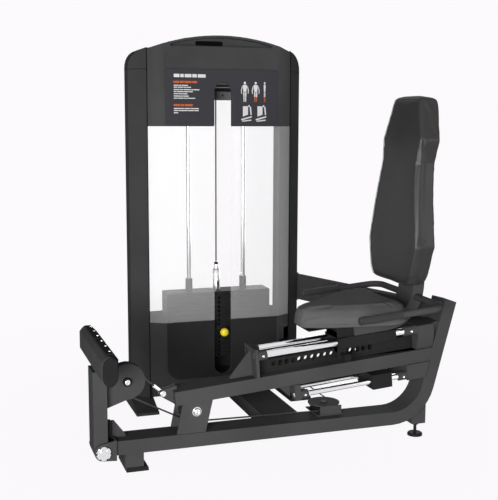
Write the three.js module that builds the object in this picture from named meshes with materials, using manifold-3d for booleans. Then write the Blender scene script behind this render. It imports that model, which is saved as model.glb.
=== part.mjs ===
import * as THREE from "three";
import { mergeVertices } from "three/addons/utils/BufferGeometryUtils.js";
import Module from "manifold-3d";

const wasm = await Module();
wasm.setup();

// Seated calf raise machine. Sizes are in millimetres. x runs from the foot arm's pivot to
// the rear post, y from the base beam to the weight tower, and z up from the floor.
const gap = 0.3;
const runningGap = 0.5;
const weldSink = 1;
const sheet = 4;
const plate = 8;

// Base beam and leaning post
const frameWidth = 100;
const frameDepth = 50;
const frameBend = 150;
const beamHeight = 92;
const beamStart = 45;
const beamCorner = 1207;
const postLean = 15;
const postLength = 452;

// Clevis, pivot shaft and stop at the beam's front end
const pivotHeight = 85;
const pivotRadius = 12.5;
const pivotCapRadius = 25;
const pivotCapThickness = 10;
const pivotNotches = 6;
const pivotNotchRadius = 4;
const bossRadius = 30;
const clevisPlate = 10;
const clevisTop = 124;
const clevisBottom = 52;
const stopHeight = 177;
const stopFoot = 122;
const stopReach = 87;
const stopThickness = 10;
const bumperWidth = 32;

// Feet under the base beam
const footPlateThickness = 6;
const footPlateX = [82, 157];
const footPlateY = [-46, 103];
const footPostX = [78, 143];
const footPostY = [-40, 60];
const footBoltPlace = [119, 82];
const footBoltRadius = 10;
const footBoltHeight = 8;
const legOffset = 7;
const legWidth = 57;
const legBottom = 53;
const padRadius = 29;
const padHeight = 12;
const padEdge = 4;
const stemRadius = 6;
const nutRadius = 12;
const nutHeight = 10;

// Foot arm, measured from the pivot axis
const armBack = 18;
const armFront = -30;
const armTop = 280;
const armSideGap = 1;
const armPulleyPlace = [92, 229];
const guardRadius = 64;
const guardThickness = 6;
const guardFoot = [139, 211];
const guardShoulder = [165, 245];
const boltHeadRadius = 13;
const boltHeadHeight = 9;
const footBarX = [-30, 22];
const footBarZ = [280, 378];
const footBarHalf = 245;
const footBarChamfer = 18;
const treadThickness = 5;
const treadY = [12.5, 217.5];
const treadFoot = 303;
const treadLap = -12;
const treadBoltHeight = 332;
const treadBoltRadius = 7;
const treadBoltProud = 4;
const treadBolts = [40, 115, 190];

// Rail, measured along its top face and square to it
const railStart = 252;
const railTop = 270;
const railSlope = 4.83;
const anchorPlace = [-34.7, -7.1];
const anchorEye = 13;
const anchorBolt = 7;
const anchorHeadRadius = 11;
const anchorHeadHeight = 7;
const anchorShank = 6.5;
const anchorLength = 40;
const lugGap = 16;
const lugThickness = 8;
const lugReach = 16;
const lugRise = 14;

// Seat rods and their mounts on the rail
const rodSpread = 45;
const upperRodRadius = 13;
const upperRodHeight = 79;
const upperRodStart = 299;
const frontMountX = [298, 310];
const frontMountTop = 105;
const frontGussetStart = 214;
const frontGussetTop = 95;
const gussetThickness = 10;
const gussetBlunt = 6;
const upperCollarRadius = 18;
const frontCollarEnd = 343;
const rearMountTop = 95;
const rearMountFoot = 40;
const lowerRodRadius = 10;
const lowerRodHeight = -90;
const lowerRodStart = 438;
const lowerMountWidth = 116;
const lowerMountBottom = -108;
const lowerPlateX = [437, 461];
const lowerGussetStart = 388;
const lowerCollarRadius = 16;
const lowerCollarEnd = 490;
const barStart = 310;
const barWidth = 25;
const barTop = 50;
const holeRadius = 10;
const holeHeight = 31;
const holePitch = 25.5;
const firstHole = 380;
const holeCount = 16;

// Rear ends on the rail, each measured forwards from the base beam's corner
const upperRodSetback = 208;
const rearMountSetback = 268;
const rearCollarSetback = 321;
const lowerRodSetback = 257;
const lowerRearSetback = 319;
const lowerCollarSetback = 353;

// Seat carriage
const carriageX = [617, 848];
const carriageRest = 38;
const carriageHalf = 65;
const bearingRadius = 17;
const carriageBlockX = [617, 654];
const carriageBlockZ = [61, 97];
const carriageDeck = 5;
const carriageSkirt = 5;
const skirtBottom = 58;
const seatRiserX = [617, 680];
const seatRiserWidth = 100;
const boardX = [500, 810];
const boardWidth = 140;
const boardTop = 146.7;
const housingY = [-46, -16];
const housingZ = [18, 66];
const pinRadius = 8;
const pinHole = 635;
const pinTip = -13;
const pinKnobRadius = 14;
const pinKnobLength = 20;
const pinStemLength = 30;
const lowerBlockX = [741, 821];
const lowerBlockZ = [-117.5, -62.5];
const strapThickness = 6;

// Back bracket, handle and cushions
const bracketHalf = 58;
const bracketThickness = 45;
const bracketBend = 137.5;
const bracketStart = 684;
const bracketCorner = 935.3;
const bracketLevel = 119.8;
const bracketTurn = 81.77;
const bracketLength = 353;
const handleLevel = 205;
const handleHalf = 265;
const handleRadius = 12.5;
const handleTip = 613.5;
const handleCross = 943;
const handleBend = 50;
const gripRadius = 15.5;
const gripX = [611, 769];
const gripEnd = 2;
const cushionPower = 0.4;
const cushionPoints = 16;

// Rows of the seat: place along the rail, half width, underside and top above the rail
const seatRows = [
  [459, 38, 156, 204],
  [462, 56, 151, 213],
  [471, 72, 148, 218],
  [488, 85, 147, 220],
  [520, 91, 147, 220],
  [590, 92, 147, 220],
  [640, 95, 147, 220],
  [672, 113, 147, 220],
  [700, 143, 147, 220],
  [725, 171, 147, 220],
  [750, 190, 147, 220],
  [790, 198, 147, 220],
  [818, 192, 147, 220],
  [836, 176, 148, 219],
  [845, 158, 151, 214],
  [848, 142, 156, 206],
];

// Rows of the backrest: height, front face, half width and thickness
const backRows = [
  [612, 1095, 118, 48],
  [617, 1089, 130, 64],
  [630, 1086.5, 144, 73],
  [650, 1087, 163, 74.8],
  [700, 1089.5, 177, 75.3],
  [755, 1093, 192, 75],
  [780, 1094, 192, 75.5],
  [850, 1098, 175, 75],
  [925, 1102, 159, 75],
  [1000, 1109, 145, 75],
  [1050, 1115, 137, 75],
  [1095, 1120, 144, 75],
  [1135, 1125, 151, 75],
  [1185, 1131, 133, 75],
  [1235, 1138, 116, 74],
  [1268, 1143, 104, 70],
  [1281, 1149, 95, 56],
  [1285, 1157, 84, 38],
];

// Cable and pulleys
const cableRadius = 3;
const armPathRadius = 46;
const guidePathRadius = 50;
const pathRadius = 51;
const guidePlace = [331, 194];
const redirectPlace = [852, 51];
const redirectHeight = 133;
const towerPulleyHeight = 184;
const stackLine = 700;
const pulleyWidth = 20;
const pulleyRim = 4;
const pulleyLip = 8;
const grooveHalf = 5;
const grooveGap = 0.8;
const axleRadius = 8;
const axleGap = 0.35;
const arcStep = 10;

// Cable bracket and redirect bracket on the beam
const bracketFoot = [259, 363];
const bracketHead = [280, 389];
const bracketSideY = [40, 48];
const bracketWindow = 165;
const spacerRadius = 12;
const pocketGap = 3;
const redirectPlateX = [800, 904];
const redirectPlateY = [-14, 105];
const redirectPlateThickness = 4;
const redirectWebX = [813, 898];
const redirectWebY = [-11, -7];
const redirectDiscRadius = 60;
const redirectDiscZ = [148, 153];
const redirectHead = 8;

// Weight tower, measured from the middle of its front face
const towerCentre = 622;
const towerFront = 600;
const towerPlan = [
  [248, 0],
  [307, 33],
  [372, 96],
];
const columnBottom = 45;
const columnTop = 1404;
const shoulderRadius = 75;
const shoulderStraight = 8;
const archRise = 53;
const archSteps = 12;
const coverDepth = 262;
const lowerCoverZ = [107, 369];
const headCoverDrop = 228;
const headSheetRise = 10;
const archLip = 10;
const recessHalf = 215;
const recessDepth = 26;
const rearWallDrop = 116;
const flatProud = 2;
const flatHalf = 240;
const flatTopDrop = 3;
const flatCorner = 58;
const placardInset = 4;
const placardLap = 1;
const placardHalf = 240;
const placardThickness = 3;
const slotHalf = 36;
const slotBottom = 137;
const slotDrop = 50;
const flatBottom = 125;
const shelfDrop = 2;
const headPulleyRise = 13;
const cableHole = 9;
const forkX = [-14, 288];
const forkRise = 22;
const forkThickness = 6;
const forkChamfer = 30;

// Tower base
const footInner = 289;
const footOuter = 383;
const footProfile = [
  [-55, 0],
  [292, 0],
  [292, 45],
  [65, 45],
  [-10, 20],
  [-55, 12],
];
const crossTubeTop = 107;
const crossTubeHalf = 308;
const crossTubeFront = [50, 100];
const crossTubeRear = [164, 214];
const deckThickness = 6;
const deckHalf = 150;
const windowHalf = 24;
const windowTop = 262;
const earTop = 210;
const earHalf = 14;

// Weight stack
const stackHalf = 226;
const stackY = [50, 150];
const stackBottom = 196;
const level = 19;
const parkedLevels = 6;
const liftedPlates = 8;
const grooveDepth = 2;
const grooveHeight = 1.5;
const guideSpread = 120;
const guideRadius = 9.5;
const bumperRadius = 24;
const bushingRadius = 15;
const bushingTop = 535;
const selectorRadius = 10;
const selectorBottom = 200;
const ferruleRadius = 15;
const ferruleTop = 571;
const sleeveRadius = 8;
const sleeveTop = 601;
const selectorHole = 5.6;
const selectorPinRadius = 5;
const selectorPinY = [-6, 106];
const knobRadius = 19;
const knobNeck = 9;
const knobLength = 34;
const knobEdge = 5;
const slide = 0.8;

// Cross beam and brace between the frame and the tower
const crossBeamX = [612, 752];
const crossBeamDepth = 50;
const crossBeamWall = 6;
const braceHeight = 103;
const braceTowerTop = 525;
const bracePostTop = 506;
const braceThickness = 45;
const braceFlangeY = [98, 164];
const braceFlangeOver = 9;

const roundSides = 20;
const rodFacets = 16;
const pulleySides = 24;
const smallSides = 10;
const cableSides = 8;
const bendSteps = 8;

const radians = THREE.MathUtils.degToRad;
const half = (value) => [-value, value];

// Turn each of three axes into the direction in which an outline is extruded.
const unitX = new THREE.Vector3(1, 0, 0);
const unitY = new THREE.Vector3(0, 1, 0);
const unitZ = new THREE.Vector3(0, 0, 1);
const extrudeFrames = {
  x: new THREE.Matrix4().makeBasis(unitY, unitZ, unitX),
  y: new THREE.Matrix4().makeBasis(unitX, unitZ, unitY.clone().negate()),
  z: new THREE.Matrix4(),
};
const latheFrames = {
  x: new THREE.Matrix4().makeBasis(unitZ, unitX, unitY),
  y: new THREE.Matrix4(),
  z: new THREE.Matrix4().makeBasis(unitX, unitZ, unitY.clone().negate()),
};

function toSolid(geometry) {
  geometry.deleteAttribute("normal");
  geometry.deleteAttribute("uv");
  const merged = mergeVertices(geometry);
  return new wasm.Manifold(new wasm.Mesh({
    numProp: 3,
    vertProperties: new Float32Array(merged.attributes.position.array),
    triVerts: new Uint32Array(merged.index.array),
  }));
}

function addPart(parent, name, solid, material) {
  const raw = solid.getMesh();
  const geometry = new THREE.BufferGeometry();
  geometry.setAttribute("position", new THREE.BufferAttribute(raw.vertProperties, 3));
  geometry.setIndex(new THREE.BufferAttribute(raw.triVerts, 1));
  geometry.computeVertexNormals();
  const mesh = new THREE.Mesh(geometry, material);
  mesh.name = name;
  parent.add(mesh);
  return mesh;
}

function join(solids) {
  return solids.reduce((whole, piece) => whole.add(piece));
}

function cut(solid, tools) {
  return tools.reduce((rest, tool) => rest.subtract(tool), solid);
}

// Extrude an outline of pairs along an axis, from the low to the high end of the span.
// The pairs are (y, z) for x, (x, z) for y and (x, y) for z.
function prism(axis, outline, [low, high]) {
  const shape = new THREE.Shape(outline.map(([a, b]) => new THREE.Vector2(a, b)));
  const geometry = new THREE.ExtrudeGeometry(shape, { depth: high - low, bevelEnabled: false });
  geometry.translate(0, 0, axis === "y" ? -high : low);
  return toSolid(geometry.applyMatrix4(extrudeFrames[axis]));
}

function box([left, right], [near, far], [bottom, top]) {
  return prism("z", [[left, near], [right, near], [right, far], [left, far]], [bottom, top]);
}

function arcPoints([a, b], radius, from, to, steps) {
  const points = [];
  for (let i = 0; i <= steps; i += 1) {
    const angle = from + ((to - from) * i) / steps;
    points.push([a + radius * Math.cos(angle), b + radius * Math.sin(angle)]);
  }
  return points;
}

function cylinder(axis, centre, radius, span, sides = roundSides) {
  return prism(axis, arcPoints(centre, radius, 0, 2 * Math.PI, sides).slice(1), span);
}

function ring(axis, centre, outer, inner, span, sides = roundSides) {
  const wide = [span[0] - weldSink, span[1] + weldSink];
  return cylinder(axis, centre, outer, span, sides).subtract(cylinder(axis, centre, inner, wide, sides));
}

// Turn a profile of (radius, distance along the axis) pairs about the axis.
function lathe(axis, profile, sides = roundSides) {
  const points = profile.map(([radius, along]) => new THREE.Vector2(radius, along));
  return toSolid(new THREE.LatheGeometry(points, sides).applyMatrix4(latheFrames[axis]));
}

// A path that steps from point to point of a list.
class Route extends THREE.Curve {
  constructor(points) {
    super();
    this.points = points;
  }

  getPointAt(t) {
    return this.points[Math.round(t * (this.points.length - 1))].clone();
  }

  getTangentAt(t) {
    const index = Math.round(t * (this.points.length - 1));
    const before = this.points[Math.max(index - 1, 0)];
    const here = this.points[index];
    const after = this.points[Math.min(index + 1, this.points.length - 1)];
    const into = here.clone().sub(before).normalize();
    const out = after.clone().sub(here).normalize();
    return into.add(out).normalize();
  }
}

function sweep(points, radius, sides) {
  const outline = arcPoints([0, 0], radius, 0, 2 * Math.PI, sides).slice(1);
  const shape = new THREE.Shape(outline.map(([a, b]) => new THREE.Vector2(a, b)));
  const path = new Route(points);
  return toSolid(new THREE.ExtrudeGeometry(shape, { steps: points.length - 1, extrudePath: path }));
}

// Round the inner corners of a route, each with its own bend radius.
function roundedRoute(corners, bends) {
  const points = [corners[0]];
  bends.forEach((bend, i) => {
    const corner = corners[i + 1];
    const into = corner.clone().sub(corners[i]).normalize();
    const out = corners[i + 2].clone().sub(corner).normalize();
    const turn = into.angleTo(out);
    const side = out.clone().addScaledVector(into, -into.dot(out)).normalize();
    const centre = corner.clone().addScaledVector(into, -bend * Math.tan(turn / 2));
    centre.addScaledVector(side, bend);
    const steps = Math.ceil(turn / radians(arcStep));
    for (let k = 0; k <= steps; k += 1) {
      const angle = (turn * k) / steps;
      const point = centre.clone().addScaledVector(into, bend * Math.sin(angle));
      points.push(point.addScaledVector(side, -bend * Math.cos(angle)));
    }
  });
  points.push(corners[corners.length - 1]);
  return points;
}

// Outline of a flat bar that bends to the left once, at a corner.
function bentBar(start, corner, end, bend, thickness) {
  const [a, b, c] = [start, corner, end].map(([x, y]) => new THREE.Vector2(x, y));
  const into = b.clone().sub(a).normalize();
  const out = c.clone().sub(b).normalize();
  const turn = out.angle() - into.angle();
  const left = new THREE.Vector2(-into.y, into.x);
  const centre = b.clone().addScaledVector(into, -bend * Math.tan(turn / 2));
  centre.addScaledVector(left, bend);
  const from = into.angle() - Math.PI / 2;
  const side = (offset) => {
    const first = a.clone().addScaledVector(left, -offset);
    const arc = arcPoints([centre.x, centre.y], bend + offset, from, from + turn, bendSteps);
    const last = c.clone().addScaledVector(new THREE.Vector2(out.y, -out.x), offset);
    return [[first.x, first.y], ...arc, [last.x, last.y]];
  };
  return [...side(thickness / 2), ...side(-thickness / 2).reverse()];
}

// Move every side of a convex outline inwards. The outline runs anticlockwise.
function inset(outline, distance) {
  const count = outline.length;
  const sides = outline.map(([x, y], i) => {
    const [nextX, nextY] = outline[(i + 1) % count];
    const length = Math.hypot(nextX - x, nextY - y);
    const normal = [-(nextY - y) / length, (nextX - x) / length];
    return [...normal, normal[0] * x + normal[1] * y + distance];
  });
  return sides.map(([a, b, c], i) => {
    const [d, e, f] = sides[(i + count - 1) % count];
    const area = a * e - b * d;
    return [(c * e - b * f) / area, (a * f - c * d) / area];
  });
}

// Close a skin over rings of points, with a fan at each end.
function loft(rings) {
  const count = rings[0].length;
  const middle = (points) => points.reduce((sum, p) => sum.add(p), new THREE.Vector3())
    .divideScalar(points.length);
  const vertices = [...rings.flat(), middle(rings[0]), middle(rings[rings.length - 1])];
  const first = rings.length * count;
  const index = [];
  for (let i = 0; i < count; i += 1) {
    const next = (i + 1) % count;
    const top = first - count;
    index.push(first, next, i, first + 1, top + i, top + next);
    for (let k = 0; k < rings.length - 1; k += 1) {
      const low = k * count;
      const high = low + count;
      index.push(low + i, low + next, high + next, low + i, high + next, high + i);
    }
  }
  const geometry = new THREE.BufferGeometry().setFromPoints(vertices);
  geometry.setIndex(index);
  return toSolid(geometry);
}

// A ring of a cushion: nearly a rectangle, with round corners.
function cushionRing(halfWidth, halfDepth, place) {
  return arcPoints([0, 0], 1, 0, 2 * Math.PI, cushionPoints).slice(1).map(([c, s]) => place(
    Math.sign(c) * halfWidth * Math.abs(c) ** cushionPower,
    Math.sign(s) * halfDepth * Math.abs(s) ** cushionPower,
  ));
}

// The angle, seen from a circle's centre, at which a line through a point touches it.
function touchAngle(centre, radius, point, side) {
  const [x, y] = [point[0] - centre[0], point[1] - centre[1]];
  return Math.atan2(y, x) + side * Math.acos(radius / Math.hypot(x, y));
}

const paint = (color, roughness) => new THREE.MeshStandardMaterial({ color, roughness, metalness: 0.3 });
const metal = (color, roughness) => new THREE.MeshStandardMaterial({ color, roughness, metalness: 1 });
const soft = (color, roughness) => new THREE.MeshStandardMaterial({ color, roughness, metalness: 0 });
const framePaint = paint(0x35373a, 0.42);
const towerPaint = paint(0x303234, 0.45);
const placardPaint = paint(0x3a3a3e, 0.5);
const chrome = metal(0xc9ccd0, 0.12);
const plateSteel = metal(0x4b4c4e, 0.5);
const shieldPlastic = new THREE.MeshStandardMaterial({
  color: 0xb9bcbf, roughness: 0.35, transparent: true, opacity: 0.45,
});
const blackPlastic = soft(0x161718, 0.5);
const rubber = soft(0x1b1b1c, 0.85);
const leather = soft(0x262728, 0.55);
const yellowPlastic = soft(0xffe61e, 0.4);
const cableCoat = soft(0x141414, 0.35);

const machine = new THREE.Group();
const frameHalf = half(frameWidth / 2);

// Base beam, bent up into the post, with the clevis, the stop and the feet
const lean = radians(postLean);
const postTop = [
  beamCorner + postLength * Math.sin(lean),
  beamHeight + postLength * Math.cos(lean),
];
const beamLine = bentBar(
  [beamStart, beamHeight], [beamCorner, beamHeight], postTop, frameBend, frameDepth,
);
const beamTop = beamHeight + frameDepth / 2;
const beamBottom = beamHeight - frameDepth / 2;
const clevisBack = beamStart - plate;
const clevisInner = frameWidth / 2;
const clevisOuter = clevisInner + clevisPlate;
const earLine = [
  [beamStart, clevisBottom],
  [beamStart, clevisTop],
  ...arcPoints([0, pivotHeight], bossRadius, Math.PI / 2, 1.5 * Math.PI, bendSteps),
];
const pivotBore = cylinder("y", [0, pivotHeight], pivotRadius + gap, half(clevisOuter + weldSink));
const stopLine = [
  [clevisBack, beamTop - weldSink],
  [stopReach, beamTop - weldSink],
  [stopReach, clevisTop],
  [clevisBack + stopThickness, stopHeight],
  [clevisBack, stopHeight],
];
const legCentre = beamCorner + legOffset;
const legX = [legCentre - legWidth / 2, legCentre + legWidth / 2];
const footBolt = cylinder(
  "z", footBoltPlace, footBoltRadius, [0, footPlateThickness + footBoltHeight], smallSides,
);
const baseBeam = join([
  prism("y", beamLine, frameHalf),
  prism("y", earLine, [-clevisOuter, -clevisInner]),
  prism("y", earLine, [clevisInner, clevisOuter]),
  box([clevisBack, beamStart + weldSink], half(clevisOuter), [clevisBottom, clevisTop]),
  prism("y", stopLine, half(stopThickness / 2)),
  box(footPlateX, footPlateY, [0, footPlateThickness]),
  box(footPostX, footPostY, [footPlateThickness - weldSink, beamBottom + weldSink]),
  footBolt,
  box(legX, half(legWidth / 2), [legBottom, beamHeight + frameDepth]),
]);
addPart(machine, "base_beam", cut(baseBeam, [pivotBore]), framePaint);

const padProfile = [
  [0, 0],
  [padRadius, 0],
  [padRadius, padHeight - padEdge],
  [padRadius - padEdge, padHeight],
  [stemRadius, padHeight],
  [stemRadius, legBottom - nutHeight],
  [nutRadius, legBottom - nutHeight],
  [nutRadius, legBottom - gap],
  [0, legBottom - gap],
];
const levellingFoot = addPart(machine, "levelling_foot", lathe("z", padProfile), rubber);
levellingFoot.position.x = legCentre;

const capEnd = clevisOuter + gap + pivotCapThickness;
const notch = (side) => Array.from({ length: pivotNotches }, (_, i) => {
  const angle = (2 * Math.PI * i) / pivotNotches;
  const place = [pivotCapRadius * Math.cos(angle), pivotCapRadius * Math.sin(angle)];
  const span = side < 0 ? [-capEnd - weldSink, -clevisOuter] : [clevisOuter, capEnd + weldSink];
  return cylinder("y", place, pivotNotchRadius, span, smallSides);
});
const pivotShaft = join([
  cylinder("y", [0, 0], pivotRadius, half(capEnd)),
  cylinder("y", [0, 0], pivotCapRadius, [-capEnd, -clevisOuter - gap]),
  cylinder("y", [0, 0], pivotCapRadius, [clevisOuter + gap, capEnd]),
]);
const pivotMesh = addPart(machine, "pivot_shaft", cut(pivotShaft, [...notch(-1), ...notch(1)]), chrome);
pivotMesh.position.z = pivotHeight;

addPart(
  machine,
  "stop_bumper",
  box([armBack + runningGap, clevisBack - gap], half(bumperWidth / 2), [stopFoot, stopHeight]),
  rubber,
);

// Foot arm: the tube on its boss, the guard plates of its pulley and the pulley's bolt
const arm = new THREE.Group();
arm.position.z = pivotHeight;
machine.add(arm);
const armHalf = half(clevisInner - armSideGap);
const guardInner = pulleyWidth / 2 + 2 * armSideGap;
const guardOuter = guardInner + guardThickness;
const guardLine = [
  [armBack - weldSink, guardFoot[0]],
  [armPulleyPlace[0], guardShoulder[0]],
  [armPulleyPlace[0], guardShoulder[1]],
  [armBack - weldSink, guardFoot[1]],
];
const guards = [[-guardOuter, -guardInner], [guardInner, guardOuter]].flatMap((span) => [
  cylinder("y", armPulleyPlace, guardRadius, span, pulleySides),
  prism("y", guardLine, span),
]);
const footArm = join([
  cylinder("y", [0, 0], bossRadius, armHalf, pulleySides),
  box([armFront, armBack], armHalf, [0, armTop - gap]),
  ...guards,
  cylinder("y", armPulleyPlace, axleRadius, half(guardOuter + weldSink)),
  cylinder("y", armPulleyPlace, boltHeadRadius, [-guardOuter - boltHeadHeight, -guardOuter]),
  cylinder("y", armPulleyPlace, boltHeadRadius, [guardOuter, guardOuter + boltHeadHeight]),
]);
const armBore = cylinder("y", [0, 0], pivotRadius + runningGap, half(clevisInner + weldSink));
addPart(arm, "foot_arm", cut(footArm, [armBore]), framePaint);

const [barLeft, barRight] = footBarX;
const [barLow, barHigh] = footBarZ;
const footBarLine = [
  [barLeft, barLow + footBarChamfer],
  [barLeft + footBarChamfer, barLow],
  [barRight - footBarChamfer, barLow],
  [barRight, barLow + footBarChamfer],
  [barRight, barHigh - footBarChamfer],
  [barRight - footBarChamfer, barHigh],
  [barLeft + footBarChamfer, barHigh],
  [barLeft, barHigh - footBarChamfer],
];
addPart(arm, "foot_bar", prism("y", footBarLine, half(footBarHalf)), framePaint);

const chamferRun = treadThickness * Math.tan(Math.PI / 8);
const treadLine = [
  [barRight + gap, treadFoot],
  [barRight + gap + treadThickness, treadFoot],
  [barRight + gap + treadThickness, barHigh - footBarChamfer + chamferRun + gap],
  [barRight - footBarChamfer + chamferRun + gap, barHigh + treadThickness + gap],
  [treadLap, barHigh + treadThickness + gap],
  [treadLap, barHigh + gap],
  [barRight - footBarChamfer + gap, barHigh + gap],
  [barRight + gap, barHigh - footBarChamfer + gap],
];
function addTread(name, side) {
  const span = side < 0 ? [-treadY[1], -treadY[0]] : treadY;
  const face = barRight + gap + treadThickness;
  const proud = [face - weldSink, face + treadBoltProud];
  const bolts = treadBolts.map((place) => cylinder(
    "x", [side * place, treadBoltHeight], treadBoltRadius, proud, smallSides,
  ));
  addPart(arm, name, join([prism("y", treadLine, span), ...bolts]), blackPlastic);
}
addTread("tread_near", -1);
addTread("tread_far", 1);

// Rail with its rod mounts, in a frame that follows its slope
const slope = radians(railSlope);
const rail = new THREE.Group();
rail.position.set(railStart, 0, railTop);
rail.rotation.y = -slope;
machine.add(rail);
function toRail(x, z) {
  const [right, up] = [x - railStart, z - railTop];
  return [right * Math.cos(slope) + up * Math.sin(slope), up * Math.cos(slope) - right * Math.sin(slope)];
}
function fromRail(along, above) {
  return [
    railStart + along * Math.cos(slope) - above * Math.sin(slope),
    railTop + along * Math.sin(slope) + above * Math.cos(slope),
  ];
}
const faceStart = toRail(
  beamCorner - (frameDepth / 2) * Math.cos(lean), beamHeight + (frameDepth / 2) * Math.sin(lean),
);
function postFace(above) {
  return faceStart[0] + (above - faceStart[1]) * Math.tan(lean + slope) - gap;
}
const lugLine = [
  [lugReach, -frameDepth],
  [lugReach, lugRise],
  ...arcPoints(anchorPlace, anchorEye, Math.PI / 2, 1.25 * Math.PI, bendSteps),
  [0, -frameDepth],
];
const lugs = [[-lugGap / 2 - lugThickness, -lugGap / 2], [lugGap / 2, lugGap / 2 + lugThickness]]
  .map((span) => prism("y", lugLine, span));
const frontGusset = [
  [frontGussetStart, -weldSink],
  [frontMountX[0] + weldSink, -weldSink],
  [frontMountX[0] + weldSink, frontGussetTop],
  [frontGussetStart, gussetBlunt],
];
const lowerGusset = [
  [lowerGussetStart, -frameDepth + weldSink],
  [lowerGussetStart, -frameDepth - gussetBlunt],
  [lowerPlateX[0] + weldSink, lowerMountBottom],
  [lowerPlateX[0] + weldSink, -frameDepth + weldSink],
];
const rearMountStart = beamCorner - rearMountSetback;
const rearCollarStart = beamCorner - rearCollarSetback;
const lowerRearStart = beamCorner - lowerRearSetback;
const lowerRearCollarStart = beamCorner - lowerCollarSetback;
const upperRodX = [upperRodStart, beamCorner - upperRodSetback];
const lowerRodX = [lowerRodStart, beamCorner - lowerRodSetback];
const rearMountLine = [
  [rearMountStart, -weldSink],
  [postFace(-weldSink), -weldSink],
  [postFace(rearMountTop), rearMountTop],
  [rearMountStart, rearMountTop],
];
const rearCheekX = [rearMountStart, upperRodX[1] + plate];
const rearMountSection = [
  [-rearMountFoot, -weldSink],
  [rearMountFoot, -weldSink],
  [frameWidth / 2 + clevisPlate, rearMountTop / 2],
  [frameWidth / 2 + clevisPlate, rearMountTop],
  [-frameWidth / 2 - clevisPlate, rearMountTop],
  [-frameWidth / 2 - clevisPlate, rearMountTop / 2],
];
const lowerRearLine = [
  [lowerRearStart, -frameDepth + weldSink],
  [lowerRearStart, lowerMountBottom],
  [postFace(lowerMountBottom), lowerMountBottom],
  [postFace(-frameDepth + weldSink), -frameDepth + weldSink],
];
const mountHalf = half(frameWidth / 2 + clevisPlate);
const rodSides = [-rodSpread, rodSpread];
const upperCollarX = [
  [frontMountX[1] - weldSink, frontCollarEnd],
  [rearCollarStart, rearMountStart + weldSink],
];
const lowerCollarX = [
  [lowerPlateX[1] - weldSink, lowerCollarEnd],
  [lowerRearCollarStart, lowerRearStart + weldSink],
];
const collars = rodSides.flatMap((side) => [
  ...upperCollarX.map((span) => cylinder("x", [side, upperRodHeight], upperCollarRadius, span, rodFacets)),
  ...lowerCollarX.map((span) => cylinder("x", [side, lowerRodHeight], lowerCollarRadius, span, rodFacets)),
]);
const upperBoreX = [frontMountX[0] - weldSink, upperRodX[1] + weldSink];
const lowerBoreX = [lowerPlateX[0] - weldSink, lowerRodX[1] + weldSink];
const rodBores = rodSides.flatMap((side) => [
  cylinder("x", [side, upperRodHeight], upperRodRadius + gap, upperBoreX, rodFacets),
  cylinder("x", [side, lowerRodHeight], lowerRodRadius + gap, lowerBoreX, rodFacets),
]);
const railLine = [
  [0, -frameDepth],
  [postFace(-frameDepth), -frameDepth],
  [postFace(0), 0],
  [0, 0],
];
const railTube = join([
  prism("y", railLine, frameHalf),
  ...lugs,
  box(frontMountX, mountHalf, [-weldSink, frontMountTop]),
  prism("y", frontGusset, half(gussetThickness / 2)),
  prism("y", rearMountLine, half(rearMountFoot)),
  prism("y", rearMountLine, mountHalf).intersect(prism("x", rearMountSection, rearCheekX)),
  box(lowerPlateX, half(lowerMountWidth / 2), [lowerMountBottom, -frameDepth + weldSink]),
  prism("y", lowerGusset, half(gussetThickness / 2)),
  prism("y", lowerRearLine, half(lowerMountWidth / 2)),
  ...collars,
]);
const lugBore = cylinder("y", anchorPlace, anchorBolt + gap, frameHalf);
const guidePocket = cylinder(
  "y", toRail(...guidePlace), guidePathRadius + pulleyRim + pocketGap, half(guardInner), pulleySides,
);
addPart(rail, "rail_tube", cut(railTube, [...rodBores, lugBore, guidePocket]), framePaint);

[["near", -rodSpread], ["far", rodSpread]].forEach(([name, side]) => {
  const upper = cylinder("x", [side, upperRodHeight], upperRodRadius, upperRodX, rodFacets);
  const lower = cylinder("x", [side, lowerRodHeight], lowerRodRadius, lowerRodX, rodFacets);
  addPart(rail, `upper_rod_${name}`, upper, chrome);
  addPart(rail, `lower_rod_${name}`, lower, chrome);
});

const barHoles = Array.from({ length: holeCount }, (_, i) => cylinder(
  "y", [firstHole + i * holePitch, holeHeight], holeRadius, half(barWidth), smallSides,
));
const bar = box([barStart + gap, rearMountStart - gap], half(barWidth / 2), [gap, barTop]);
addPart(rail, "adjusting_bar", cut(bar, barHoles), framePaint);

// Cable anchor between the lugs, with its shank along the cable's first run
const anchor = fromRail(...anchorPlace);
const armPulley = [armPulleyPlace[0], armPulleyPlace[1] + pivotHeight];
const leaveAngle = touchAngle(armPulley, armPathRadius, anchor, 1);
const runUp = new THREE.Vector3(-Math.sin(leaveAngle), 0, Math.cos(leaveAngle));
const anchorPoint = new THREE.Vector3(anchor[0], 0, anchor[1]);
const shankEnd = anchorPoint.clone().addScaledVector(runUp, anchorLength);
const anchorHeads = [-1, 1].map((side) => {
  const face = side * (lugGap / 2 + lugThickness + gap);
  const span = [face, face + side * anchorHeadHeight].sort((a, b) => a - b);
  return cylinder("y", anchor, anchorHeadRadius, span, smallSides);
});
const cableAnchor = join([
  cylinder("y", anchor, anchorHeadRadius, half(lugGap / 2 - gap)),
  cylinder("y", anchor, anchorBolt, half(lugGap / 2 + lugThickness + weldSink)),
  ...anchorHeads,
  sweep([anchorPoint, shankEnd], anchorShank, smallSides),
]);
addPart(machine, "cable_anchor", cableAnchor, chrome);

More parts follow.
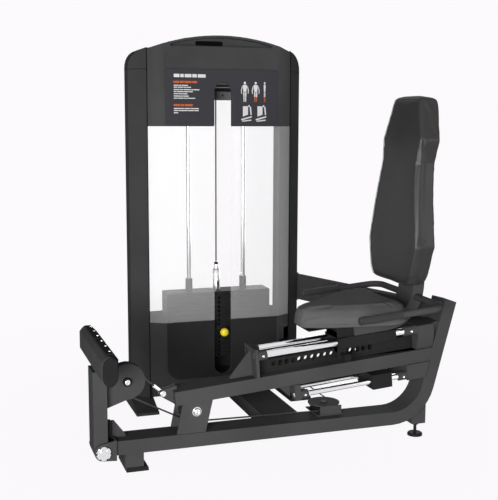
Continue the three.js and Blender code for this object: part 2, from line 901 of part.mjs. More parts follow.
// Cable bracket between the beam and the rail, with the guide pulley's bolt
function railUnderside(x) {
  return railTop + (x - railStart) * Math.tan(slope) - frameDepth / Math.cos(slope) - gap;
}
const bracketLine = [
  [bracketFoot[0], beamTop + gap],
  [bracketFoot[1], beamTop + gap],
  [bracketHead[1], railUnderside(bracketHead[1])],
  [bracketHead[0], railUnderside(bracketHead[0])],
];
const bracketWeb = [
  [bracketFoot[1] - plate, beamTop + gap],
  bracketLine[1],
  bracketLine[2],
  [bracketHead[1] - plate, railUnderside(bracketHead[1]) - sheet],
];
const bracketSides = [[-bracketSideY[1], -bracketSideY[0]], bracketSideY];
const guideAxle = guardInner - runningGap;
const guideHeadY = [-bracketSideY[1] - boltHeadHeight, -bracketSideY[1] + weldSink];
const cableBracket = join([
  ...bracketSides.map((span) => prism("y", bracketLine, span)),
  cut(prism("y", bracketWeb, half(bracketSideY[1])), [
    box([bracketFoot[0], bracketHead[1]], half(bracketSideY[0]), [beamTop, bracketWindow]),
    box([bracketFoot[0], bracketHead[1]], half(guardInner), [beamTop, railTop]),
  ]),
  cylinder("y", guidePlace, spacerRadius, [-bracketSideY[1], -guideAxle]),
  cylinder("y", guidePlace, spacerRadius, [guideAxle, bracketSideY[1]]),
  cylinder("y", guidePlace, axleRadius, half(bracketSideY[1])),
  cylinder("y", guidePlace, boltHeadRadius, guideHeadY),
]);
addPart(machine, "cable_bracket", cableBracket, framePaint);

// Bracket of the flat redirect pulley on the base beam
const redirectTop = redirectDiscZ[1] + redirectHead;
const redirectBracket = join([
  box(redirectPlateX, redirectPlateY, [beamTop + gap, beamTop + gap + redirectPlateThickness]),
  box(redirectWebX, redirectWebY, [beamTop + gap, redirectDiscZ[1]]),
  cylinder("z", redirectPlace, redirectDiscRadius, redirectDiscZ, pulleySides),
  cylinder("z", redirectPlace, axleRadius, [beamTop + gap, redirectTop]),
  cylinder("z", redirectPlace, boltHeadRadius, [redirectDiscZ[1] - weldSink, redirectTop]),
]);
addPart(machine, "redirect_bracket", redirectBracket, framePaint);

// Heights at the tower's head, all measured from the columns' top
const shoulderHeight = columnTop + shoulderStraight + shoulderRadius;
const archTop = shoulderHeight + archRise;
const headCoverBottom = columnTop - headCoverDrop;
const headSheetTop = shoulderHeight + headSheetRise;
const flatTop = headSheetTop - flatTopDrop;
const placardZ = [headCoverBottom + placardInset, columnTop + placardLap];
const slotTop = columnTop - slotDrop;
const shelfTop = slotTop - shelfDrop;
const shelfZ = [shelfTop - plate, shelfTop];
const headPulleyHeight = shelfTop + headPulleyRise + pulleyRim + pathRadius;
const forkTop = headPulleyHeight + forkRise;

// Pulleys, each turned about its own axle and then put in place
function addPulley(parent, name, axis, radius, place) {
  const bore = axleRadius + axleGap;
  const rim = radius + pulleyRim;
  const floor = radius - cableRadius - grooveGap;
  const profile = [
    [bore, -pulleyWidth / 2],
    [rim, -pulleyWidth / 2],
    [rim, -pulleyLip],
    [floor, -grooveHalf],
    [floor, grooveHalf],
    [rim, pulleyLip],
    [rim, pulleyWidth / 2],
    [bore, pulleyWidth / 2],
    [bore, -pulleyWidth / 2],
  ];
  addPart(parent, name, lathe(axis, profile, pulleySides), blackPlastic).position.set(...place);
}
const riserX = redirectPlace[0] + pathRadius;
const riserY = stackLine;
addPulley(arm, "arm_pulley", "y", armPathRadius, [armPulleyPlace[0], 0, armPulleyPlace[1]]);
addPulley(machine, "guide_pulley", "y", guidePathRadius, [guidePlace[0], 0, guidePlace[1]]);
addPulley(machine, "redirect_pulley", "z", pathRadius, [...redirectPlace, redirectHeight]);
addPulley(machine, "tower_pulley", "x", pathRadius, [riserX, riserY - pathRadius, towerPulleyHeight]);
[["outer", riserX - pathRadius], ["inner", towerCentre + pathRadius]].forEach(([name, x]) => {
  addPulley(machine, `head_pulley_${name}`, "y", pathRadius, [x, riserY, headPulleyHeight]);
});

// The cable in three lengths: over the arm pulley, from the guide pulley to the head, and
// down to the weight stack
const point3 = ([x, z], y = 0) => new THREE.Vector3(x, y, z);
const onCircle = ([a, b], radius, angle) => [a + radius * Math.cos(angle), b + radius * Math.sin(angle)];
const pulleySpan = [guidePlace[0] - armPulley[0], guidePlace[1] - armPulley[1]];
const lowerAngle = Math.atan2(pulleySpan[1], pulleySpan[0])
  - Math.acos((armPathRadius - guidePathRadius) / Math.hypot(...pulleySpan));
const wrapEnd = lowerAngle + 2 * Math.PI;
const wrapSteps = Math.ceil((wrapEnd - leaveAngle) / radians(arcStep));
const guideTouch = onCircle(guidePlace, guidePathRadius, lowerAngle);
const runDown = new THREE.Vector3(-Math.sin(lowerAngle), 0, Math.cos(lowerAngle));
const armCable = [
  shankEnd.clone().addScaledVector(runUp, gap),
  ...arcPoints(armPulley, armPathRadius, leaveAngle, wrapEnd, wrapSteps).map((p) => point3(p)),
  point3(guideTouch).addScaledVector(runDown, -2 * gap),
];
addPart(machine, "arm_cable", sweep(armCable, cableRadius, cableSides), cableCoat);

const lowerHeight = redirectHeight;
const headTop = headPulleyHeight + pathRadius;
const beamRunAngle = touchAngle(guidePlace, guidePathRadius, [riserX, lowerHeight], -1);
const guideTurn = beamRunAngle - lowerAngle;
const guideStart = point3(guideTouch).addScaledVector(runDown, -gap);
const guideCorner = point3(guideTouch).addScaledVector(runDown, guidePathRadius * Math.tan(guideTurn / 2));
const mainCable = roundedRoute(
  [
    guideStart,
    guideCorner,
    new THREE.Vector3(riserX, 0, lowerHeight),
    new THREE.Vector3(riserX, riserY, lowerHeight),
    new THREE.Vector3(riserX, riserY, headTop),
    new THREE.Vector3(towerCentre, riserY, headTop),
    new THREE.Vector3(towerCentre, riserY, headPulleyHeight - gap),
  ],
  [guidePathRadius, pathRadius, pathRadius, pathRadius, pathRadius],
);
addPart(machine, "main_cable", sweep(mainCable, cableRadius, cableSides), cableCoat);
const stackCable = cylinder(
  "z", [towerCentre, riserY], cableRadius, [sleeveTop + gap, headPulleyHeight - 2 * gap], cableSides,
);
addPart(machine, "stack_cable", stackCable, cableCoat);

// Seat carriage, at rest a fixed distance in front of the rear collars: bearings on the upper
// rods, deck, skirts, seat riser and pin housing
const carriagePlace = rearCollarStart - carriageRest - carriageX[1];
const seatGroup = new THREE.Group();
seatGroup.position.x = carriagePlace;
rail.add(seatGroup);
const pinBore = cylinder("y", [pinHole, holeHeight], pinRadius + runningGap, [-carriageHalf, 0]);
const through = ([low, high]) => [low - weldSink, high + weldSink];
const upperBores = rodSides.map((side) => cylinder(
  "x", [side, upperRodHeight], upperRodRadius + runningGap, through(carriageX), rodFacets,
));
const skirtInner = carriageHalf - carriageSkirt;
const carriage = join([
  box(carriageBlockX, half(carriageHalf), carriageBlockZ),
  ...rodSides.map((side) => cylinder("x", [side, upperRodHeight], bearingRadius, carriageX, rodFacets)),
  box(carriageX, half(carriageHalf), [carriageBlockZ[1] - carriageDeck, carriageBlockZ[1]]),
  box(carriageX, [-carriageHalf, -skirtInner], [skirtBottom, carriageBlockZ[1]]),
  box(carriageX, [skirtInner, carriageHalf], [skirtBottom, carriageBlockZ[1]]),
  box(seatRiserX, half(seatRiserWidth / 2), [carriageBlockZ[1] - weldSink, boardTop]),
  box(boardX, half(boardWidth / 2), [boardTop - sheet, boardTop]),
  box(carriageBlockX, housingY, housingZ),
]);
addPart(seatGroup, "carriage", cut(carriage, [...upperBores, pinBore]), framePaint);

const strapSpan = [carriageHalf + gap, carriageHalf + gap + strapThickness];
const lowerBores = rodSides.map((side) => cylinder(
  "x", [side, lowerRodHeight], lowerRodRadius + runningGap, through(lowerBlockX), rodFacets,
));
const lowerCarriage = join([
  box(lowerBlockX, [-carriageHalf, strapSpan[0] + weldSink], lowerBlockZ),
  box(lowerBlockX, strapSpan, [lowerBlockZ[0], carriageBlockZ[1]]),
]);
addPart(seatGroup, "lower_carriage", cut(lowerCarriage, lowerBores), framePaint);

const pinEnd = housingY[0] - pinStemLength;
const pinProfile = [
  [0, pinEnd - pinKnobLength],
  [pinKnobRadius, pinEnd - pinKnobLength],
  [pinKnobRadius, pinEnd],
  [pinRadius, pinEnd],
  [pinRadius, pinTip - pinRadius],
  [pinRadius / 2, pinTip],
  [0, pinTip],
];
addPart(seatGroup, "seat_pin", lathe("y", pinProfile), blackPlastic).position.set(pinHole, 0, holeHeight);

// Bent back bracket, with a bore for the handle, and the U-shaped handle with its grips
const bracketEnd = [
  bracketCorner + bracketLength * Math.cos(radians(bracketTurn)),
  bracketLevel + bracketLength * Math.sin(radians(bracketTurn)),
];
const backLine = bentBar(
  [bracketStart, bracketLevel], [bracketCorner, bracketLevel], bracketEnd, bracketBend, bracketThickness,
);
const handleBore = cylinder("y", [handleCross, handleLevel], handleRadius + gap, half(handleHalf));
const backBracket = prism("y", backLine, half(bracketHalf)).subtract(handleBore);
addPart(seatGroup, "back_bracket", backBracket, framePaint);

const handleRoute = roundedRoute(
  [
    new THREE.Vector3(handleTip, -handleHalf, handleLevel),
    new THREE.Vector3(handleCross, -handleHalf, handleLevel),
    new THREE.Vector3(handleCross, handleHalf, handleLevel),
    new THREE.Vector3(handleTip, handleHalf, handleLevel),
  ],
  [handleBend, handleBend],
);
addPart(seatGroup, "handle_tube", sweep(handleRoute, handleRadius, rodFacets), framePaint);
[["near", -handleHalf], ["far", handleHalf]].forEach(([name, side]) => {
  const grip = cylinder("x", [side, handleLevel], gripRadius, gripX).subtract(
    cylinder("x", [side, handleLevel], handleRadius + gap, [gripX[0] + gripEnd, gripX[1] + weldSink]),
  );
  addPart(seatGroup, `grip_${name}`, grip, rubber);
});

// Cushions, lofted over rings that shrink towards the ends
const seat = loft(seatRows.map(([along, wide, low, high]) => cushionRing(
  wide, (high - low) / 2, (a, b) => new THREE.Vector3(along, a, (low + high) / 2 + b),
)));
addPart(seatGroup, "seat_cushion", seat, leather);
const back = loft(backRows.map(([height, face, wide, thick]) => cushionRing(
  wide, thick / 2, (a, b) => new THREE.Vector3(face + thick / 2 + b, -a, height),
)));
const backGroup = new THREE.Group();
backGroup.position.set(carriagePlace * Math.cos(slope), 0, carriagePlace * Math.sin(slope));
machine.add(backGroup);
addPart(backGroup, "back_pad", back, leather);

// Weight tower, in a frame at the middle of its front face
const tower = new THREE.Group();
tower.position.set(towerCentre, towerFront, 0);
machine.add(tower);
const rearPlan = towerPlan.map(([x, y]) => [x, coverDepth - y]).reverse();
const rightPlan = [...towerPlan, ...rearPlan];
const fullPlan = [...rightPlan, ...rightPlan.map(([x, y]) => [-x, y]).reverse()];
const shoulderX = towerPlan[2][0] - shoulderRadius;
const archAt = (x) => archTop - archRise * (x / shoulderX) ** 2;
function archLine(from, to, drop) {
  return Array.from({ length: archSteps + 1 }, (_, i) => {
    const x = from + ((to - from) * i) / archSteps;
    return [x, archAt(x) - drop];
  });
}

// The tower's head, seen from the front: straight sides, round shoulders and a shallow arch
const stackBack = riserY - towerFront;
const riserLocal = riserX - towerCentre;
const shellPlan = inset(fullPlan, sheet);
function headBlock(low, plan, thickness) {
  const right = [
    [towerPlan[2][0] - thickness, low],
    ...arcPoints(
      [shoulderX, shoulderHeight - shoulderRadius], shoulderRadius - thickness, 0, Math.PI / 2, bendSteps,
    ),
  ];
  const left = right.map(([x, z]) => [-x, z]).reverse();
  const outline = [...right, ...archLine(shoulderX, -shoulderX, thickness).slice(1, -1), ...left];
  return prism("y", outline, [0, coverDepth]).intersect(prism("z", plan, [low, archTop]));
}

// Columns: folded shells that the covers meet at the plan's second corner
const coverEdge = towerPlan[1][0];
const outerShell = prism("z", fullPlan, [columnBottom + gap, columnTop])
  .add(headBlock(columnTop - weldSink, fullPlan, 0));
const innerShell = prism("z", shellPlan, [columnBottom, columnTop])
  .add(headBlock(columnTop - weldSink, shellPlan, sheet));
function column(side) {
  const reach = [side * coverEdge, side * (towerPlan[2][0] + weldSink)].sort((a, b) => a - b);
  return outerShell.subtract(innerShell).intersect(box(reach, [0, coverDepth], [0, archTop]));
}
addPart(tower, "left_column", column(-1), towerPaint);
addPart(tower, "right_column", column(1), towerPaint);

// Covers between the columns, each a sheet folded along the plan's first corners
const coverX = half(coverEdge - gap);
const frontHalf = [0, coverDepth / 2];
const rearHalf = [coverDepth / 2, coverDepth];
function foldedSheet([low, high], depth) {
  return prism("z", fullPlan, [low, high])
    .subtract(prism("z", shellPlan, through([low, high])))
    .intersect(box(coverX, depth, [low, high]));
}
const flatSheet = [-flatProud, weldSink];
const slotLine = [
  ...arcPoints([0, slotBottom + slotHalf], slotHalf, Math.PI, 2 * Math.PI, bendSteps),
  ...arcPoints([0, slotTop - slotHalf], slotHalf, 0, Math.PI, bendSteps),
];
const slot = prism("y", slotLine, half(slotHalf));
const beamNotchX = [
  crossBeamX[0] - towerCentre - runningGap,
  crossBeamX[1] - towerCentre + runningGap,
];
const beamNotch = box(beamNotchX, half(slotHalf), [0, beamTop + runningGap]);
const windowX = [riserLocal - windowHalf, riserLocal + windowHalf];
const pulleyWindow = box(windowX, half(stackBack), [0, windowTop]);
const cornerX = flatHalf - flatCorner;
const flatCornerArc = (place, turn) => arcPoints(
  place, flatCorner, (turn * Math.PI) / 2, ((turn + 1) * Math.PI) / 2, bendSteps,
);
const lowerFlat = [
  [flatHalf, lowerCoverZ[1] - gap],
  [-flatHalf, lowerCoverZ[1] - gap],
  ...flatCornerArc([-cornerX, flatBottom + flatCorner], 2),
  ...flatCornerArc([cornerX, flatBottom + flatCorner], 3),
];
const lowerCover = join([
  foldedSheet([lowerCoverZ[0], lowerCoverZ[1] - gap], frontHalf),
  prism("y", lowerFlat, flatSheet),
]);
addPart(tower, "lower_cover", cut(lowerCover, [slot, beamNotch, pulleyWindow]), towerPaint);

const shields = foldedSheet([lowerCoverZ[1], headCoverBottom - gap], frontHalf);
const shieldHalf = (from, to) => shields.intersect(box([from, to], frontHalf, [0, archTop]));
addPart(tower, "left_shield", shieldHalf(coverX[0], -slotHalf), shieldPlastic);
addPart(tower, "right_shield", shieldHalf(slotHalf, coverX[1]), shieldPlastic);
const rearWallBottom = columnTop - rearWallDrop;
const rearCover = foldedSheet([lowerCoverZ[1] + gap, rearWallBottom - gap], rearHalf);
addPart(tower, "rear_cover", rearCover, shieldPlastic);

// Head cover: the closed top with a finger recess under the arch, and the placard on its flat
const headFlat = [
  [-flatHalf, placardZ[1] + flatProud],
  [flatHalf, placardZ[1] + flatProud],
  ...flatCornerArc([cornerX, flatTop - flatCorner], 0),
  ...flatCornerArc([-cornerX, flatTop - flatCorner], 1),
];
const recessLine = (low, high, wide) => [
  [wide, low],
  ...archLine(wide, -wide, high),
  [-wide, low],
];
const recess = prism("y", recessLine(headSheetTop, archLip, recessHalf), [-weldSink, recessDepth - sheet]);
const recessBox = prism(
  "y", recessLine(headSheetTop - sheet, 0, recessHalf + sheet), [0, recessDepth],
);
const headReach = box(coverX, [-flatProud, coverDepth], [headCoverBottom, archTop]);
const headShell = headBlock(headCoverBottom, fullPlan, 0)
  .subtract(headBlock(headCoverBottom - weldSink, shellPlan, sheet))
  .add(recessBox)
  .add(prism("y", headFlat, flatSheet))
  .intersect(headReach);
const belowWall = box(through(coverX), [coverDepth / 2, coverDepth + weldSink], [0, rearWallBottom]);
addPart(tower, "head_cover", cut(headShell, [recess, slot, belowWall]), towerPaint);
const placard = box(half(placardHalf), [-placardThickness - gap, -gap], placardZ);
addPart(tower, "placard_panel", placard.subtract(slot), placardPaint);

// Carrier of the head pulleys: a shelf inside the tower with a fork and two bolts
const forkSpans = [[-guardOuter, -guardInner], [guardInner, guardOuter]]
  .map((span) => span.map((y) => stackBack + y));
const forkLine = [
  [forkX[0], shelfZ[1] - weldSink],
  [forkX[1], shelfZ[1] - weldSink],
  [forkX[1], forkTop - forkChamfer],
  [forkX[1] - forkChamfer, forkTop],
  [forkX[0] + forkChamfer, forkTop],
  [forkX[0], forkTop - forkChamfer],
];
const forkFront = forkSpans[0][0];
const headAxles = [pathRadius, riserLocal - pathRadius].flatMap((x) => [
  cylinder("y", [x, headPulleyHeight], axleRadius, [forkFront, forkSpans[1][1]]),
  cylinder("y", [x, headPulleyHeight], boltHeadRadius, [forkFront - boltHeadHeight, forkFront + weldSink]),
]);
const cableHoles = [0, riserLocal].map((x) => cylinder(
  "z", [x, stackBack], cableHole, [0, archTop], smallSides,
));
const shelf = prism("z", inset(fullPlan, sheet + gap), shelfZ);
const forks = forkSpans.map((span) => prism("y", forkLine, span));
const carrier = join([cut(shelf, cableHoles), ...forks, ...headAxles]);
addPart(tower, "pulley_carrier", carrier, framePaint);

// Tower base: two feet, two cross tubes, the deck with its bumpers and the tower pulley's ears
const earX = [riserLocal - guardOuter, riserLocal + guardOuter];
const towerPulleyY = stackBack - pathRadius;
const earZ = [crossTubeTop - weldSink, earTop];
const earY = [towerPulleyY - earHalf, towerPulleyY + earHalf];
const rearPanel = foldedSheet([columnBottom - weldSink, lowerCoverZ[1]], rearHalf);
const towerBase = join([
  rearPanel,
  prism("x", footProfile, [footInner, footOuter]),
  prism("x", footProfile, [-footOuter, -footInner]),
  box(half(crossTubeHalf), crossTubeFront, [columnBottom - weldSink, crossTubeTop]),
  box(half(crossTubeHalf), crossTubeRear, [columnBottom - weldSink, crossTubeTop]),
  box(half(deckHalf), [crossTubeFront[0], crossTubeRear[1]], [crossTubeTop - deckThickness, crossTubeTop]),
  ...half(guideSpread).map((x) => ring(
    "z", [x, stackBack], bumperRadius, guideRadius + gap, [crossTubeTop, stackBottom - gap],
  )),
  box([earX[0], riserLocal - guardInner], earY, earZ),
  box([riserLocal + guardInner, earX[1]], earY, earZ),
  cylinder("x", [towerPulleyY, towerPulleyHeight], axleRadius, earX),
]);
addPart(tower, "tower_base", towerBase, framePaint);

half(guideSpread).forEach((x) => {
  const name = x < 0 ? "guide_rod_left" : "guide_rod_right";
  const rod = cylinder("z", [x, stackBack], guideRadius, [crossTubeTop + gap, shelfZ[0] - gap]);
  addPart(tower, name, rod, chrome);
});

// Weight stack: the parked plates, the lifted plates and the head plate with its selector stem
const stackX = half(stackHalf);
const pinLevel = (index) => stackBottom + index * level + (level - gap) / 2;
const boreZ = through([stackBottom, bushingTop]);
const guideBores = half(guideSpread).map((x) => cylinder(
  "z", [x, stackBack], guideRadius + runningGap, boreZ, smallSides,
));
const selectorBore = cylinder("z", [0, stackBack], selectorRadius + slide, boreZ, smallSides);
const frontHole = (index) => cylinder(
  "y", [0, pinLevel(index)], selectorHole, [stackY[0] - weldSink, stackBack], smallSides,
);
function plates(from, to, holes) {
  const solid = box(stackX, stackY, [stackBottom + from * level, stackBottom + to * level - gap]);
  return cut(solid, [...guideBores, selectorBore, ...holes]);
}
const grooves = Array.from({ length: parkedLevels - 1 }, (_, i) => {
  const height = stackBottom + (i + 1) * level;
  const span = [height - grooveHeight / 2, height + grooveHeight / 2];
  const inner = box(
    half(stackHalf - grooveDepth), [stackY[0] + grooveDepth, stackY[1] - grooveDepth], span,
  );
  return box(half(stackHalf + weldSink), through(stackY), span).subtract(inner);
});
const parkedHoles = Array.from({ length: parkedLevels }, (_, i) => frontHole(i));
addPart(tower, "parked_plates", plates(0, parkedLevels, [...parkedHoles, ...grooves]), plateSteel);
for (let i = 0; i < liftedPlates; i += 1) {
  const index = parkedLevels + i;
  addPart(tower, `plate_${i + 1}`, plates(index, index + 1, [frontHole(index)]), plateSteel);
}
const headLevel = parkedLevels + liftedPlates;
const headBottom = stackBottom + headLevel * level;
const headTopFace = headBottom + level - gap;
const stemY = [stackBack - selectorRadius, stackBack + selectorRadius];
const selectorHoles = Array.from({ length: headLevel }, (_, i) => cylinder(
  "y", [0, pinLevel(i)], selectorHole, through(stemY), cableSides,
));
const headPlate = join([
  box(stackX, stackY, [headBottom, headTopFace]),
  ...half(guideSpread).map((x) => cylinder(
    "z", [x, stackBack], bushingRadius, [headTopFace - weldSink, bushingTop],
  )),
  cylinder("z", [0, stackBack], selectorRadius, [selectorBottom, headBottom + weldSink]),
  cylinder("z", [0, stackBack], ferruleRadius, [headTopFace - weldSink, ferruleTop]),
  cylinder("z", [0, stackBack], sleeveRadius, [ferruleTop - weldSink, sleeveTop]),
]);
addPart(tower, "head_plate", cut(headPlate, [...guideBores, ...selectorHoles]), plateSteel);

const knobProfile = [
  [0, selectorPinY[0] - knobLength],
  [knobRadius - knobEdge, selectorPinY[0] - knobLength],
  [knobRadius, selectorPinY[0] - knobLength + knobEdge],
  [knobRadius, selectorPinY[0] - knobLength / 2],
  [knobNeck, selectorPinY[0] - knobEdge],
  [knobNeck, selectorPinY[0]],
  [selectorPinRadius, selectorPinY[0]],
  [selectorPinRadius, selectorPinY[1]],
  [0, selectorPinY[1]],
];
const selectorPin = addPart(tower, "selector_pin", lathe("y", knobProfile), yellowPlastic);
selectorPin.position.z = pinLevel(parkedLevels);

// Cross beam, a channel open below, and the brace from the post to the right column
const crossBeamY = [clevisInner + gap, towerFront + crossTubeFront[0] - gap];
const channel = box(
  [crossBeamX[0] + crossBeamWall, crossBeamX[1] - crossBeamWall],
  [0, towerFront + coverDepth],
  [0, beamTop - crossBeamWall],
);
const crossBeam = box(crossBeamX, crossBeamY, [beamTop - crossBeamDepth, beamTop]);
addPart(machine, "cross_beam", crossBeam.subtract(channel), framePaint);

const braceStart = towerCentre + towerPlan[2][0] + gap;
const braceFlange = braceFlangeY.map((y) => towerFront + y);
const braceMiddle = (braceFlange[0] + braceFlange[1]) / 2;
const braceEndHeight = bracePostTop - braceHeight / 2;
const braceEnd = beamCorner + (braceEndHeight - beamHeight) * Math.tan(lean);
const braceEndY = clevisInner + gap;
const braceRun = [braceEnd - braceStart, braceMiddle - braceEndY];
const braceLength = Math.hypot(...braceRun);
const acrossEnd = ((braceThickness / 2) * braceLength) / braceRun[1];
const acrossStart = ((braceThickness / 2) * braceLength) / braceRun[0];
const farX = braceEnd + acrossEnd - ((braceFlange[1] - braceEndY) * braceRun[0]) / braceRun[1];
const bracePlan = [
  [braceStart + weldSink, braceMiddle - acrossStart],
  [braceEnd - acrossEnd, braceEndY],
  [braceEnd + acrossEnd, braceEndY],
  [farX, braceFlange[1]],
  [braceStart + weldSink, braceFlange[1]],
];
const braceSide = [
  [braceEndY, bracePostTop - braceHeight],
  [braceFlange[1], braceTowerTop - braceHeight],
  [braceFlange[1], braceTowerTop],
  [braceEndY, bracePostTop],
];
const brace = prism("z", bracePlan, [bracePostTop - 2 * braceHeight, braceTowerTop + braceHeight])
  .intersect(prism("x", braceSide, [braceStart, braceEnd + frameWidth]));
const flange = box(
  [braceStart, braceStart + plate],
  braceFlange,
  [braceTowerTop - braceHeight - braceFlangeOver, braceTowerTop + braceFlangeOver],
);
addPart(machine, "tower_brace", brace.add(flange), framePaint);

// Stand the machine with the middle of its footprint at the origin.
const model = new THREE.Group();
model.add(machine);
const bounds = new THREE.Box3().setFromObject(machine, true);
const middle = bounds.getCenter(new THREE.Vector3());
machine.position.set(-middle.x, -middle.y, -bounds.min.z);

export default model;
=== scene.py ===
import bmesh
import bpy
import numpy as np
from mathutils import Matrix


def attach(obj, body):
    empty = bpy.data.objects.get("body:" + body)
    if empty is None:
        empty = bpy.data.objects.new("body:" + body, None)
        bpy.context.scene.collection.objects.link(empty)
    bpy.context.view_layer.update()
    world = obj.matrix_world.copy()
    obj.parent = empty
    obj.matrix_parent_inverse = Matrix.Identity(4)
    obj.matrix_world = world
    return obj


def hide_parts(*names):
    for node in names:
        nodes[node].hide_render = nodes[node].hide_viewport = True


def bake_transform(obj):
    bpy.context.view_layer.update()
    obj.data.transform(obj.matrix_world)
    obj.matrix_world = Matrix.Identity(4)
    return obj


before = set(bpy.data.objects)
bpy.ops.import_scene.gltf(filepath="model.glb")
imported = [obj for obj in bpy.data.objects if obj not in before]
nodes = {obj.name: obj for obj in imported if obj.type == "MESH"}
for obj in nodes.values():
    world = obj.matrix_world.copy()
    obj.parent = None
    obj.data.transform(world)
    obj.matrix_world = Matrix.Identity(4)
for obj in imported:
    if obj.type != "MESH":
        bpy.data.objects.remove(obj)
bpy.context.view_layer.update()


# The room: one pale floor that runs out into a pale wall, a wide soft lamp in front of the
# machine, weaker ones over it and beside it, and the lens where the photographer stood.
wall_tint = (0.973, 0.955, 0.973, 1)
fill_light = 0.06


def seen_directly(tree):
    """1 where a ray comes from the lens, from a gloss or through a clear sheet, and 0 where it
    only carries light."""
    rays = tree.nodes.new("ShaderNodeLightPath")
    either = tree.nodes.new("ShaderNodeMath")
    either.operation = "MAXIMUM"
    any_of = tree.nodes.new("ShaderNodeMath")
    any_of.operation = "MAXIMUM"
    tree.links.new(rays.outputs["Is Camera Ray"], either.inputs[0])
    tree.links.new(rays.outputs["Is Glossy Ray"], either.inputs[1])
    tree.links.new(either.outputs[0], any_of.inputs[0])
    tree.links.new(rays.outputs["Is Transmission Ray"], any_of.inputs[1])
    return any_of.outputs[0]


room = bpy.data.worlds.new("room")
room.use_nodes = True
bpy.context.scene.world = room
air = room.node_tree
air.nodes.clear()
dim, bright = air.nodes.new("ShaderNodeBackground"), air.nodes.new("ShaderNodeBackground")
dim.inputs["Color"].default_value = (1, 1, 1, 1)
dim.inputs["Strength"].default_value = fill_light
bright.inputs["Color"].default_value = wall_tint
choice, sky = air.nodes.new("ShaderNodeMixShader"), air.nodes.new("ShaderNodeOutputWorld")
air.links.new(seen_directly(air), choice.inputs[0])
air.links.new(dim.outputs[0], choice.inputs[1])
air.links.new(bright.outputs[0], choice.inputs[2])
air.links.new(choice.outputs[0], sky.inputs["Surface"])

floor_reach = 30
floor_mesh = bpy.data.meshes.new("floor")
floor_mesh.from_pydata(
    [(x * floor_reach, y * floor_reach, 0) for x, y in ((-1, -1), (1, -1), (1, 1), (-1, 1))],
    [], [(0, 1, 2, 3)],
)
floor = bpy.data.objects.new("floor", floor_mesh)
bpy.context.scene.collection.objects.link(floor)
pale = bpy.data.materials.new("pale_floor")
pale.use_nodes = True
ground = pale.node_tree
ground.nodes.clear()
matt, glow = ground.nodes.new("ShaderNodeBsdfDiffuse"), ground.nodes.new("ShaderNodeEmission")
matt.inputs["Color"].default_value = (0.8, 0.8, 0.8, 1)
glow.inputs["Color"].default_value = wall_tint
place, away = ground.nodes.new("ShaderNodeTexCoord"), ground.nodes.new("ShaderNodeVectorMath")
away.operation = "LENGTH"
fade = ground.nodes.new("ShaderNodeMapRange")
for name, value in (("From Min", 0.4), ("From Max", 2.2), ("To Min", 0.965), ("To Max", 1)):
    fade.inputs[name].default_value = value
seen, ends = ground.nodes.new("ShaderNodeMixShader"), ground.nodes.new("ShaderNodeMixShader")
sheet_out = ground.nodes.new("ShaderNodeOutputMaterial")
ground.links.new(place.outputs["Object"], away.inputs[0])
ground.links.new(away.outputs["Value"], fade.inputs["Value"])
ground.links.new(fade.outputs[0], seen.inputs[0])
ground.links.new(matt.outputs[0], seen.inputs[1])
ground.links.new(glow.outputs[0], seen.inputs[2])
ground.links.new(seen_directly(ground), ends.inputs[0])
ground.links.new(matt.outputs[0], ends.inputs[1])
ground.links.new(seen.outputs[0], ends.inputs[2])
ground.links.new(ends.outputs[0], sheet_out.inputs["Surface"])
floor_mesh.materials.append(pale)


def lamp(name, place, aim, width, height, watts):
    """A soft box: a flat lamp at a place, turned so that its face looks at the aim."""
    light = bpy.data.lights.new(name, "AREA")
    light.shape = "RECTANGLE"
    light.size, light.size_y, light.energy = width, height, watts
    box = bpy.data.objects.new(name, light)
    out = np.subtract(place, aim) / np.linalg.norm(np.subtract(place, aim))
    across = np.cross((0, 0, 1), out) / np.linalg.norm(np.cross((0, 0, 1), out))
    turn = np.stack([across, np.cross(out, across), out], 1)
    box.matrix_world = Matrix.Translation(place) @ Matrix(turn.tolist()).to_4x4()
    bpy.context.scene.collection.objects.link(box)
    return box


lit_point = (0, 0, 0.7)
lamp("front_box", (-2.7, -4.4, 1.05), lit_point, 2.4, 1.8, 290)
lamp("right_box", (2.6, -3.6, 1.5), lit_point, 1.6, 1.6, 30)
lamp("back_box", (2.6, 3.6, 1.0), lit_point, 2.4, 1.8, 80)

standpoint = (-1.15507, -3.39295, 1.2045)
heading, down, roll = np.radians([18.494, 7.973, 0.181])
ahead = np.array([
    np.sin(heading) * np.cos(down), np.cos(heading) * np.cos(down), -np.sin(down),
])
level = np.array([np.cos(heading), -np.sin(heading), 0])
upright = np.cross(level, ahead)
right = level * np.cos(roll) + upright * np.sin(roll)
above = upright * np.cos(roll) - level * np.sin(roll)
lens = bpy.data.cameras.new("lens")
lens.lens, lens.sensor_fit, lens.sensor_width, lens.clip_end = 67.41, "HORIZONTAL", 36, 100
camera = bpy.data.objects.new("camera", lens)
camera.matrix_world = Matrix.Translation(standpoint) @ Matrix(
    np.stack([right, above, -ahead], 1).tolist()
).to_4x4()
bpy.context.scene.collection.objects.link(camera)
bpy.context.scene.camera = camera
bpy.context.scene.view_settings.view_transform = "Standard"


# The welded frame, the swinging arm and the pulley brackets: thick square tube and plate under
# a satin charcoal powder coat. The solids stay; their edges are eased as a tube's are.
def new_finish(name, colour, roughness, **more):
    """A finish with the values that are the same all over it, set on the shader itself."""
    finish = bpy.data.materials.new(name)
    finish.use_nodes = True
    shader = finish.node_tree.nodes["Principled BSDF"]
    shader.inputs["Base Color"].default_value = (*colour, 1)
    shader.inputs["Roughness"].default_value = roughness
    for socket, value in more.items():
        shader.inputs[socket.replace("_", " ")].default_value = value
    return finish


